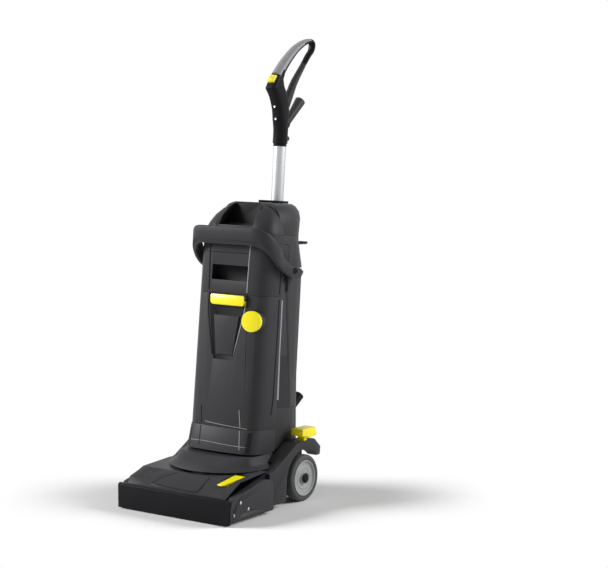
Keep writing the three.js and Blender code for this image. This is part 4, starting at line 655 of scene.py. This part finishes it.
class SCRUBBER_OT_wheels(bpy.types.Operator):
    """Tyres, discs and caps of both wheels"""
    bl_idname = "scrubber.wheels"
    bl_label = "Wheels"

    def execute(self, context):
        _, sizes, _ = settings()
        paint("axle")
        for name, side in (("left", -1), ("right", 1)):
            low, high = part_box(f"wheel_tyre_{name}")
            inner = low.x if side > 0 else high.x
            width = (high.x - low.x) / MM
            radius = (high.z - low.z) / 2 / MM
            rim = (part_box(f"wheel_hub_{name}")[1].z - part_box(f"wheel_hub_{name}")[0].z) / 2 / MM
            place = Matrix.Translation((inner, AXLE.y, AXLE.z)) @ Matrix.Scale(MM, 4)
            if side < 0:
                place = place @ Matrix.Scale(-1, 4, (1, 0, 0))
            bead = 3
            tyre = turned([
                (0, rim + 0.3), (0, radius - 2 * bead), (bead / 3, radius - bead), (bead, radius - bead / 3),
                (2 * bead, radius), (width - 2 * bead, radius), (width - bead, radius - bead / 3),
                (width - bead / 3, radius - bead), (width, radius - 2 * bead), (width, rim + 3.5),
                (width - 1, rim + 2.5), (width - 1, rim + 1.5), (width, rim + 0.5), (width - 2, rim + 0.3),
            ], sizes.sides, closed=True)
            make_piece(f"tyre_{name}", tyre, "tyre", f"wheel_{name}", stands_for=(f"wheel_tyre_{name}",),
                       place=place, smooth=30)
            boss = 11
            disc = turned([
                (0, 5.3), (0, boss), (width - 13, boss), (width - 13, rim - 5), (0, rim - 5), (0, rim),
                (width - 1, rim), (width, rim - 1), (width, rim - 2.5), (width - 1, rim - 4),
                (width - 4, rim - 5.5), (width - 5, rim - 8), (width - 5, rim - 16), (width - 4, rim - 17.5),
                (width - 4, rim - 19), (width - 5, rim - 20.5), (width - 5, boss + 3), (width - 1, boss + 1),
                (width, boss - 0.5), (width, 5.3),
            ], sizes.sides, closed=True)
            make_piece(f"wheel_disc_{name}", disc, "disc_grey", f"wheel_{name}",
                       stands_for=(f"wheel_hub_{name}",), place=place, smooth=30)
            cap_low, cap_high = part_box(f"axle_cap_{name}")
            cap_radius = CAP_SHARE * (cap_high.z - cap_low.z) / 2 / MM
            cap_depth = (cap_high.x - cap_low.x) / MM
            start = (cap_low.x if side > 0 else cap_high.x)
            cap_place = Matrix.Translation((start - inner, 0, 0)) @ place
            cap = turned([
                (0, 0), (0, cap_radius), (cap_depth * 0.5, cap_radius), (cap_depth * 0.8, cap_radius * 0.85),
                (cap_depth * 0.95, cap_radius * 0.6), (cap_depth, cap_radius * 0.3), (cap_depth, 0),
            ], sizes.sides // 2)
            make_piece(f"hub_cap_{name}", cap, BLACK, "base", stands_for=(f"axle_cap_{name}",),
                       place=cap_place, smooth=40)
        return {"FINISHED"}


class SCRUBBER_OT_fenders(bpy.types.Operator):
    """Fenders over both wheels"""
    bl_idname = "scrubber.fenders"
    bl_label = "Fenders"

    def execute(self, context):
        _, sizes, _ = settings()
        dress("fender_left", sizes.edge)
        dress("fender_right", sizes.edge)
        return {"FINISHED"}


class SCRUBBER_OT_foot_controls(bpy.types.Operator):
    """Foot pedal and release lever"""
    bl_idname = "scrubber.foot_controls"
    bl_label = "Pedal and lever"

    def execute(self, context):
        _, sizes, _ = settings()
        dress("foot_pedal", sizes.edge, place=HEAD, shape=pedal_shape)
        dress("release_lever", sizes.fine_edge, place=HEAD, shape=lever_shape)
        return {"FINISHED"}


# The half width of the recesses in the tanks' fronts, and how deep they are at most: the bounds of their painted
# shade.
RECESS_HALF, RECESS_DEEPEST = 61, 45


def darken(piece, chosen):
    """Gives near-black ABS, as a second finish, to the column piece's faces that the choice is true for; in recesses
    and the scoop it is painted shade.
    """
    piece.data.materials.append(finish(BLACK))
    back = COLUMN.inverted()
    for face in piece.data.polygons:
        if chosen(*(back @ face.center), (back.to_3x3() @ face.normal).normalized()):
            face.material_index = 1


class SCRUBBER_OT_tanks(bpy.types.Operator):
    """Tray, both tanks, their lids, and the beads on them"""
    bl_idname = "scrubber.tanks"
    bl_label = "Tanks"

    def execute(self, context):
        _, sizes, _ = settings()
        paint("fresh_tank_lid", "column_foot")
        dress("tank_tray", sizes.fine_edge)
        # Deeper than 2.5 mm in the fresh tank's recess and 8 mm in the dirty tank's, faces get near-black painted
        # shade.
        self.paint_recess_shade(dress("fresh_tank", sizes.fine_edge), 2.5)
        self.paint_recess_shade(dress("dirty_tank", sizes.fine_edge), 8)
        self.paint_scoop_shade(dress("tank_lid", sizes.fine_edge, shape=lid_shape))
        dress("fresh_tank_cap", sizes.fine_edge)
        dress("shield_plate", sizes.fine_edge, look=CHARCOAL)
        dirty, fresh, tray = ("dirty_tank_finished",), ("fresh_tank_finished",), ("tank_tray_finished",)
        ahead, inward = (0, 1, 0), (-1, 0, 0)
        for name, carrier, points, toward, width, slot in (
            # Black strips on the recess's left edge: painted shade of its deep left wall.
            ("recess_shade_left_high", dirty, [(-64, 0, 556), (-63.5, 0, 510), (-60.6, 0, 446)], ahead, 5,
             BLACK),
            ("recess_shade_left_low", fresh, [(-60, 0, 434), (-57.8, 0, 394), (-45, 0, 335), (-36, 0, 290)], ahead, 5,
             BLACK),
            # Grey strips on the recess's right edge: painted highlight where its wall catches the light.
            ("recess_highlight_right_high", dirty, [(57, 0, 566), (55.5, 0, 522), (54.8, 0, 444)], ahead, 2.6, GREY),
            ("recess_highlight_right_low", fresh, [(54.6, 0, 434), (52.4, 0, 407), (43.8, 0, 366), (34.8, 0, 329),
                                         (26, 0, 292)], ahead, 2.6, GREY),
            ("tank_line_high", dirty, [(-50, 0, 556), (44, 0, 556)], ahead, 2.4, BLACK),
            ("tank_line_low", dirty, [(-73, 0, 537), (57, 0, 537)], ahead, 2, BLACK),
            ("tank_split", fresh, [(66, -140, 436), (100, -106, 436)], (-0.6, 0.8, 0), 1.2, CHARCOAL),
            # Grey lines across the tray and at its seam with the tank: painted highlights on their edges.
            ("tray_highlight_low", tray, [(-86, 0, 79), (-35, 0, 81), (40, 0, 78), (88, 0, 77)], ahead, 1.4,
             GREY),
            ("tray_highlight_high", fresh, [(-45, 0, 127), (0, 0, 124), (79, 0, 120)], ahead, 1.4, GREY),
            # Black strips left of the front panel: painted shade of the groove's wall.
            ("foot_shade_high", fresh, [(-60.5, 0, 163), (-58, 0, 139), (-56.5, 0, 121)], ahead, 3.4, BLACK),
            ("foot_shade_low", tray, [(-56, 0, 115), (-55, 0, 103), (-51, 0, 70)], ahead, 3.4, BLACK),
            # Grey strips right of the front panel: painted highlight on the groove's lit edge.
            ("foot_highlight_high", fresh, [(54.7, 0, 164), (58, 0, 140), (60.5, 0, 121)], ahead, 2, GREY),
            ("foot_highlight_low", tray, [(61.3, 0, 114), (65, 0, 92), (69, 0, 70)], ahead, 2, GREY),
            ("side_seam", fresh, [(0, -72, 431), (0, -73, 333), (0, -75, 261), (0, -77, 189), (0, -82, 153)], inward,
             4, BLACK),
            ("side_seam_high", dirty, [(0, -70, 500), (0, -72, 444)], inward, 4, BLACK),
        ):
            lay_bead(name, carrier, points, toward, width, slot)
        for i in range(9):
            z = 112 - 5.5 * i
            for side in (-1, 1):
                lay_bead(f"tray_rib_{'left' if side < 0 else 'right'}_{i + 1}", tray,
                     [(side * 84, 0, z - 4), (side * 94, 0, z)], ahead, 2.6, BLACK, flat=0.9)
        return {"FINISHED"}

    def paint_recess_shade(self, tank, deep):
        """Near-black painted shade for the faces that lie deeper than a distance in a tank's front."""
        darken(tank, lambda x, y, z, normal: abs(x) < RECESS_HALF and deep < y - front_skin(x, z) < RECESS_DEEPEST)

    def paint_scoop_shade(self, lid):
        """Near-black painted shade on the rear wall, the side walls and the floor of the lid's scoop."""
        darken(lid, lambda x, y, z, normal: z > SCOOP_FLOOR - 3 and (
            normal.y < -0.5 and y > -90 and abs(x) < 66
            or abs(normal.x) > 0.6 and abs(x) < 54
            or normal.z > 0.8 and abs(x) < 62 and z < SCOOP_FLOOR + 7))


class SCRUBBER_OT_tank_controls(bpy.types.Operator):
    """Tank latch, dosing knob and its collar"""
    bl_idname = "scrubber.tank_controls"
    bl_label = "Latch and knob"

    def execute(self, context):
        _, sizes, _ = settings()
        dress("tank_latch", sizes.fine_edge, shape=lambda x, y, z: (max(-51, min(51, x)) + 4, y, z))
        axis = COLUMN.inverted() @ middle("dosing_knob")

        def smaller(x, y, z):
            return axis.x + (x - axis.x) * 0.93, y, axis.z + (z - axis.z) * 0.93

        dress("dosing_knob", sizes.fine_edge, shape=smaller)
        dress("knob_collar", sizes.fine_edge, look=CHARCOAL)
        return {"FINISHED"}


class SCRUBBER_OT_housing(bpy.types.Operator):
    """Housing behind the tanks, its hood, the turbine and the suction pipe"""
    bl_idname = "scrubber.housing"
    bl_label = "Rear housing"

    def execute(self, context):
        _, sizes, _ = settings()
        dress("lower_housing", sizes.fine_edge, shape=lower_shape)
        dress("rear_housing", sizes.fine_edge, shape=housing_shape)
        dress("top_hood", sizes.fine_edge, shape=hood_shape)
        dress("rear_ledge", sizes.edge, shape=lambda x, y, z: (x, 62 + (y - 68.3) * 1.23, z + 7))
        dress("lower_cord_hook", sizes.edge)
        rear, inward = ("rear_housing_finished",), (-1, 0, 0)
        for name, points, width, slot in (
            # The wide grey strip on the housing's front edge is a painted highlight.
            ("housing_edge_highlight", [(0, -55, 428), (0, -55, 380), (0, -55.5, 300), (0, -56, 188)], 9, GREY),
            ("housing_panel", [(0, -57, 563), (0, -34, 562), (0, -30, 559), (0, -39, 521)], 2.4, BLACK),
            ("pivot_bracket", [(0, -57, 487), (0, -46, 492), (0, -39, 472), (0, -39, 450)], 8, BLACK),
        ):
            lay_bead(name, rear, points, inward, width, slot, flat=0.3)
        paint("turbine_motor", "turbine_fan", "suction_pipe")
        return {"FINISHED"}


# The bail's side profile, from its pivot: the share of the way ahead to the bar, its lower and its upper edge.
BAIL_SHARES = (
    (-0.283, -0.06, -0.0), (-0.233, -0.152, 0.04), (-0.158, -0.202, 0.081), (0.1, -0.202, 0.111),
    (0.233, -0.11, 0.192), (0.35, -0.04, 0.293), (0.433, 0.005, 0.424), (0.517, 0.07, 0.566), (0.625, 0.19, 0.727),
    (0.75, 0.357, 0.869), (0.817, 0.444, 0.91), (0.9, 0.556, 0.96), (0.975, 0.667, 0.99), (1.0, 0.667, 1.0),
)


# The bail's pivot, and its reach from there to the bar and up to the bar's upper edge.
PIVOT_Y, PIVOT_Z, REACH, RISE = -38, 501, 120, 99


class SCRUBBER_OT_bail(bpy.types.Operator):
    """Carry bail over the tanks"""
    bl_idname = "scrubber.bail"
    bl_label = "Carry bail"

    def execute(self, context):
        half, front, corner, thick = 119.5, 152.5, 45, 11
        middle = half - corner
        arc = [math.radians(90 * i / 12) for i in range(13)]
        right = [(half, -4 - 104 * i / 26) for i in range(26)]
        right += [(middle + corner * math.cos(a), -(front - corner) - corner * math.sin(a)) for a in arc]
        path = [Vector((x, y, 0)) for x, y in [*right, *[(-x, y) for x, y in reversed(right)]]]
        bm = bmesh.new()
        rings = []
        for i, point in enumerate(path):
            along = (path[min(i + 1, len(path) - 1)] - path[max(i - 1, 0)]).normalized()
            out = along.cross(Vector((0, 0, 1)))
            if out.dot(point - Vector((0, PIVOT_Y, 0))) < 0:
                out = -out
            rings.append(self.section(point, out, thick))
        ring_skin(bm, rings)
        make_piece("bail_band", bm, SLOT_OF["bail_handle"], BODY_OF["bail_handle"], stands_for=("bail_handle",),
                   place=COLUMN, smooth=50)
        for name, side in (("left", -1), ("right", 1)):
            pin = turned([(104, 0), (104, 5), (118, 5), (118, 8), (126, 8), (127.4, 6.5), (127.4, 4), (126.4, 3),
                          (126.4, 0)], 32)
            turn = Matrix.Translation((0, PIVOT_Y, PIVOT_Z)) @ Matrix.Scale(side, 4, (1, 0, 0))
            make_piece(f"bail_pin_{name}", pin, BLACK, BODY_OF["bail_handle"], place=COLUMN @ turn)
        return {"FINISHED"}

    def section(self, point, out, thick):
        """The band's section, higher at the front and rounded off over the front corners."""
        edge = 3
        ring = []
        for side, level in ((1, 0), (1, 1), (-1, 1), (-1, 0)):
            place = point + out * side * thick / 2
            ahead = (PIVOT_Y - place.y) / REACH
            low, high = (PIVOT_Z + RISE * share for share in between(BAIL_SHARES, ahead))
            over = max(0.0, abs(place.x) - 85)
            high = max(min(high, 560 + math.sqrt(max(40 ** 2 - over ** 2, 0))), low + 2 * edge + 0.2)
            z = high if level else low
            inward, up = out * -side * edge, (-edge if level else edge)
            upright = Vector((place.x, place.y, z + up))
            flat = Vector((place.x, place.y, z)) + inward
            mid = Vector((place.x, place.y, z + up * 0.3)) + inward * 0.3
            ring += [upright, mid, flat] if (side > 0) == bool(level) else [flat, mid, upright]
        return ring


# The neck's sections: height, front, back, half width, squareness and slope.
NECK = (
    (809, 26.2, 63.2, 18.5, 1, 0), (841, 26.2, 63.2, 18.5, 1, 0), (867, 21.2, 63.4, 18, 0.85, 0),
    (891.4, 16.8, 63.2, 17, 0.7, 0), (915.5, 6.2, 59.4, 16.5, 0.6, 0), (927, -0.7, 51.9, 16.5, 0.55, 0),
    (941, -12.4, 43, 16.5, 0.5, 0), (948, -8, 37.5, 16.5, 0.5, 0.05), (960, 0.3, 32.7, 16.1, 0.5, 0.2),
    (970, 9.5, 31, 15, 0.5, 0.45), (976, 15.5, 33, 14.4, 0.55, 0.68), (982.2, 23, 36.4, 13.7, 0.6, 0.93),
)
# The loop's middle line, in shares of its reach to the back and of its rise.
LOOP = (
    (0, 0.4), (0.076, 0.485), (0.237, 0.64), (0.477, 0.823), (0.706, 0.938), (0.874, 0.985), (0.958, 0.982),
    (0.9965, 0.935), (0.9685, 0.844), (0.887, 0.77), (0.754, 0.626), (0.515, 0.358), (0.399, 0.176), (0.294, 0.006),
)


LOOP_START, LOOP_REACH, LOOP_RISE = Vector((0, 18, 904)), 143, 170
# A point that the loop goes round.
LOOP_MIDDLE = Vector((0, 95, 985))


class SCRUBBER_OT_handle(bpy.types.Operator):
    """Tube, neck, grip, switch and cord hook"""
    bl_idname = "scrubber.handle"
    bl_label = "Handle"

    def execute(self, context):
        _, sizes, _ = settings()
        for node in ("cord_gland", "handle_tube"):
            dress(node, sizes.fine_edge, angle=40)
        dress("upper_cord_hook", sizes.fine_edge, angle=40, look=CHARCOAL)
        dress("power_switch", sizes.fine_edge, angle=40,
              shape=lambda x, y, z: (x * 1.1, y - (4.5 if z < 966 else 2), z - (4.5 if z < 966 else 0.5)))
        dress("tube_collar", sizes.fine_edge, angle=40, shape=lambda x, y, z: (x * 0.82, y + 4.3, z))
        rings = []
        for height, front, back, half, square, slope in smooth_rows(NECK, 4):
            middle, deep = (front + back) / 2, (back - front) / 2
            ring = []
            for turn in (2 * math.pi * side / 48 for side in range(48)):
                c, s = math.cos(turn), math.sin(turn)
                y = deep * math.copysign(abs(s) ** square, s)
                ring.append((half * math.copysign(abs(c) ** square, c), middle + y, height - slope * y))
            rings.append(ring)
        bm = bmesh.new()
        ring_skin(bm, rings)
        body = BODY_OF["handle_front_shell"]
        make_piece("handle_neck", bm, BLACK, body, stands_for=("handle_front_shell", "handle_rear_shell"),
                   place=COLUMN)
        pad = make_piece("handle_pad", self.tube(0, 0.44, (15, 15), (11, 6.2)), GREY, body,
                         stands_for=("handle_grip",), place=COLUMN)
        # The soft pad covers the loop's outer side only.
        darken(pad, lambda x, y, z, normal: normal.dot((Vector((x, y, z)) - LOOP_MIDDLE).normalized()) < 0.3)
        leg = self.tube(0.442, 0.67, (10.5, 6), (8.5, 5.5))
        make_piece("handle_leg_high", leg, BLACK, body, place=COLUMN)
        leg = self.tube(0.66, 1, (8.5, 5.5), (10, 13))
        make_piece("handle_leg_low", leg, BLACK, body, place=COLUMN, look=CHARCOAL)
        for node, height, front in (("handle_screw_1", 868, 21), ("handle_screw_2", 898, 14.2)):
            place = COLUMN @ Matrix.Translation((0, front, height)) @ Matrix.Rotation(-math.pi / 2, 4, "Z")
            well = turned([(-8, 0), (-8, 6), (0.4, 6), (0.9, 5.4), (0.9, 4.6), (-0.6, 4.2), (-0.6, 0)], 32)
            make_piece(f"{node}_well", well, BLACK, body, place=place)
            head = turned([(-4, 0), (-4, 3.4), (0.4, 3.4), (1.2, 2.4), (1.2, 0.9), (0.6, 0)], 32)
            make_piece(f"{node}_head", head, "steel", body, stands_for=(node,), place=place)
        band = turned([(-1, 15.4), (-1, 16.4), (6, 16.4), (6, 15.4)], 48, closed=True)
        up = Matrix.Translation((0, 44.7, 803)) @ Matrix.Rotation(-math.pi / 2, 4, "Y")
        make_piece("tube_band", band, BLACK, body, place=COLUMN @ up)
        return {"FINISHED"}

    def tube(self, start, end, first, last, sides=24, steps=40):
        """A stretch of the loop between two shares of its length, whose oval section changes along it."""
        line = [LOOP_START + Vector((0, LOOP_REACH * back, LOOP_RISE * up)) for back, up in smooth_rows(LOOP, 10)]
        run = [0.0]
        for a, b in zip(line, line[1:]):
            run.append(run[-1] + (b - a).length)
        rows = [(r / run[-1], p.y, p.z) for r, p in zip(run, line)]
        rings = []
        for i in range(steps + 1):
            share = i / steps
            at = start + (end - start) * share
            centre = Vector((0, *between(rows, at)))
            along = (Vector((0, *between(rows, at + 0.01))) - Vector((0, *between(rows, at - 0.01)))).normalized()
            across, through = (a + (b - a) * share for a, b in zip(first, last))
            out = Vector((0, -along.z, along.y))
            turns = [2 * math.pi * side / sides for side in range(sides)]
            rings.append([centre + Vector((across * math.cos(t), 0, 0)) + out * through * math.sin(t)
                          for t in turns])
        bm = bmesh.new()
        ring_skin(bm, rings)
        return bm


class SCRUBBER_OT_stage(bpy.types.Operator):
    """Floor, backdrop, lamps and camera"""
    bl_idname = "scrubber.stage"
    bl_label = "Stage"

    def execute(self, context):
        _, _, stage = settings()
        scene = context.scene
        scene.view_settings.view_transform = "Standard"
        world = bpy.data.worlds.new("Studio")
        world.use_nodes = True
        tree = world.node_tree
        tree.nodes.clear()
        path = add_node(tree, "LightPath")
        seen = add_node(tree, "Math", links={0: path.outputs["Is Camera Ray"], 1: path.outputs["Is Glossy Ray"]},
                        operation="MAXIMUM")
        shown = add_node(tree, "Math", links={0: seen.outputs[0], 1: path.outputs["Is Transmission Ray"]},
                         operation="MAXIMUM")
        level = add_node(tree, "MapRange", {"To Min": stage.fill, "To Max": 1.0}, {"Value": shown.outputs[0]})
        light = add_node(tree, "Background", {"Color": (1, 1, 1, 1)}, {"Strength": level.outputs[0]})
        add_node(tree, "OutputWorld", links={"Surface": light.outputs[0]})
        scene.world = world
        self.floor()
        self.sun("key_light", (-2.6, -1.8, 1.5), stage.key, 25)
        self.sun("rim_light", (2.0, 1.5, 1.3), stage.rim, 30)
        self.camera(scene, stage)
        return {"FINISHED"}

    def floor(self):
        """A pale floor that keeps the machine's shadow and turns plain white to the camera further out."""
        bm = bmesh.new()
        bmesh.ops.create_grid(bm, x_segments=1, y_segments=1, size=30)
        mesh = bpy.data.meshes.new("floor")
        bm.to_mesh(mesh)
        bm.free()
        floor = bpy.data.objects.new("floor", mesh)
        bpy.context.scene.collection.objects.link(floor)
        material, tree, place = new_material("studio_floor")
        noise = add_node(tree, "TexNoise", {"Scale": 2.0}, {"Vector": place})
        tone = add_node(tree, "Mix", {6: linear("fcfcfc"), 7: linear("ffffff")}, {0: noise.outputs["Fac"]},
                        data_type="RGBA")
        matt = add_node(tree, "BsdfDiffuse", links={"Color": tone.outputs[2]})
        white = add_node(tree, "Emission", {"Strength": 1.0})
        away = add_node(tree, "VectorMath", links={0: place}, operation="LENGTH")
        far = add_node(tree, "MapRange", {"From Min": 0.32, "From Max": 0.62}, {"Value": away.outputs["Value"]},
                       interpolation_type="SMOOTHSTEP")
        path = add_node(tree, "LightPath")
        share = add_node(tree, "Math", links={0: far.outputs[0], 1: path.outputs["Is Camera Ray"]},
                         operation="MULTIPLY")
        blend = add_node(tree, "MixShader", links={0: share.outputs[0], 1: matt.outputs[0], 2: white.outputs[0]})
        add_node(tree, "OutputMaterial", links={"Surface": blend.outputs[0]})
        mesh.materials.append(material)

    def sun(self, name, place, strength, width):
        data = bpy.data.lights.new(name, "SUN")
        data.energy, data.angle = strength, math.radians(width)
        lamp = bpy.data.objects.new(name, data)
        lamp.rotation_euler = (-Vector(place)).to_track_quat("-Z", "Y").to_euler()
        bpy.context.scene.collection.objects.link(lamp)

    def camera(self, scene, stage):
        data = bpy.data.cameras.new("photo_camera")
        data.lens, data.sensor_width, data.sensor_fit = stage.lens, 36, "HORIZONTAL"
        camera = bpy.data.objects.new("photo_camera", data)
        azimuth, yaw, pitch = math.radians(38.12), math.radians(-2.70), math.radians(6.56)
        distance, height = 4.202, 1.014
        camera.location = (distance * math.sin(azimuth), AXLE.y - 0.124 - distance * math.cos(azimuth), height)
        camera.rotation_euler = (math.pi / 2 - pitch, 0, azimuth + yaw)
        scene.collection.objects.link(camera)
        scene.camera = camera


OPERATORS = (
    SCRUBBER_OT_head, SCRUBBER_OT_screws, SCRUBBER_OT_roller, SCRUBBER_OT_squeegees, SCRUBBER_OT_wheels,
    SCRUBBER_OT_fenders, SCRUBBER_OT_foot_controls, SCRUBBER_OT_tanks, SCRUBBER_OT_tank_controls,
    SCRUBBER_OT_housing, SCRUBBER_OT_bail, SCRUBBER_OT_handle, SCRUBBER_OT_stage,
)


class SCRUBBER_PT_panel(bpy.types.Panel):
    """Lists the machine's pieces, sizes and colours"""
    bl_idname = "SCRUBBER_PT_panel"
    bl_label = "Floor scrubber"
    bl_space_type = "VIEW_3D"
    bl_region_type = "UI"
    bl_category = "Scrubber"

    def draw(self, context):
        for operator in OPERATORS:
            self.layout.operator(operator.bl_idname)
        for group in settings():
            for name in group.bl_rna.properties.keys()[2:]:
                self.layout.prop(group, name)


GROUPS = (ScrubberColours, ScrubberSizes, ScrubberStage)


def register():
    for kind in (*GROUPS, *OPERATORS, SCRUBBER_PT_panel):
        bpy.utils.register_class(kind)
    bpy.types.Scene.scrubber_colours = PointerProperty(type=ScrubberColours)
    bpy.types.Scene.scrubber_sizes = PointerProperty(type=ScrubberSizes)
    bpy.types.Scene.scrubber_stage = PointerProperty(type=ScrubberStage)


def unregister():
    del bpy.types.Scene.scrubber_stage
    del bpy.types.Scene.scrubber_sizes
    del bpy.types.Scene.scrubber_colours
    for kind in reversed((*GROUPS, *OPERATORS, SCRUBBER_PT_panel)):
        bpy.utils.unregister_class(kind)


def main():
    register()
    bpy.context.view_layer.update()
    for operator in OPERATORS:
        group, name = operator.bl_idname.split(".")
        getattr(getattr(bpy.ops, group), name)()


if __name__ == "__main__":
    main()
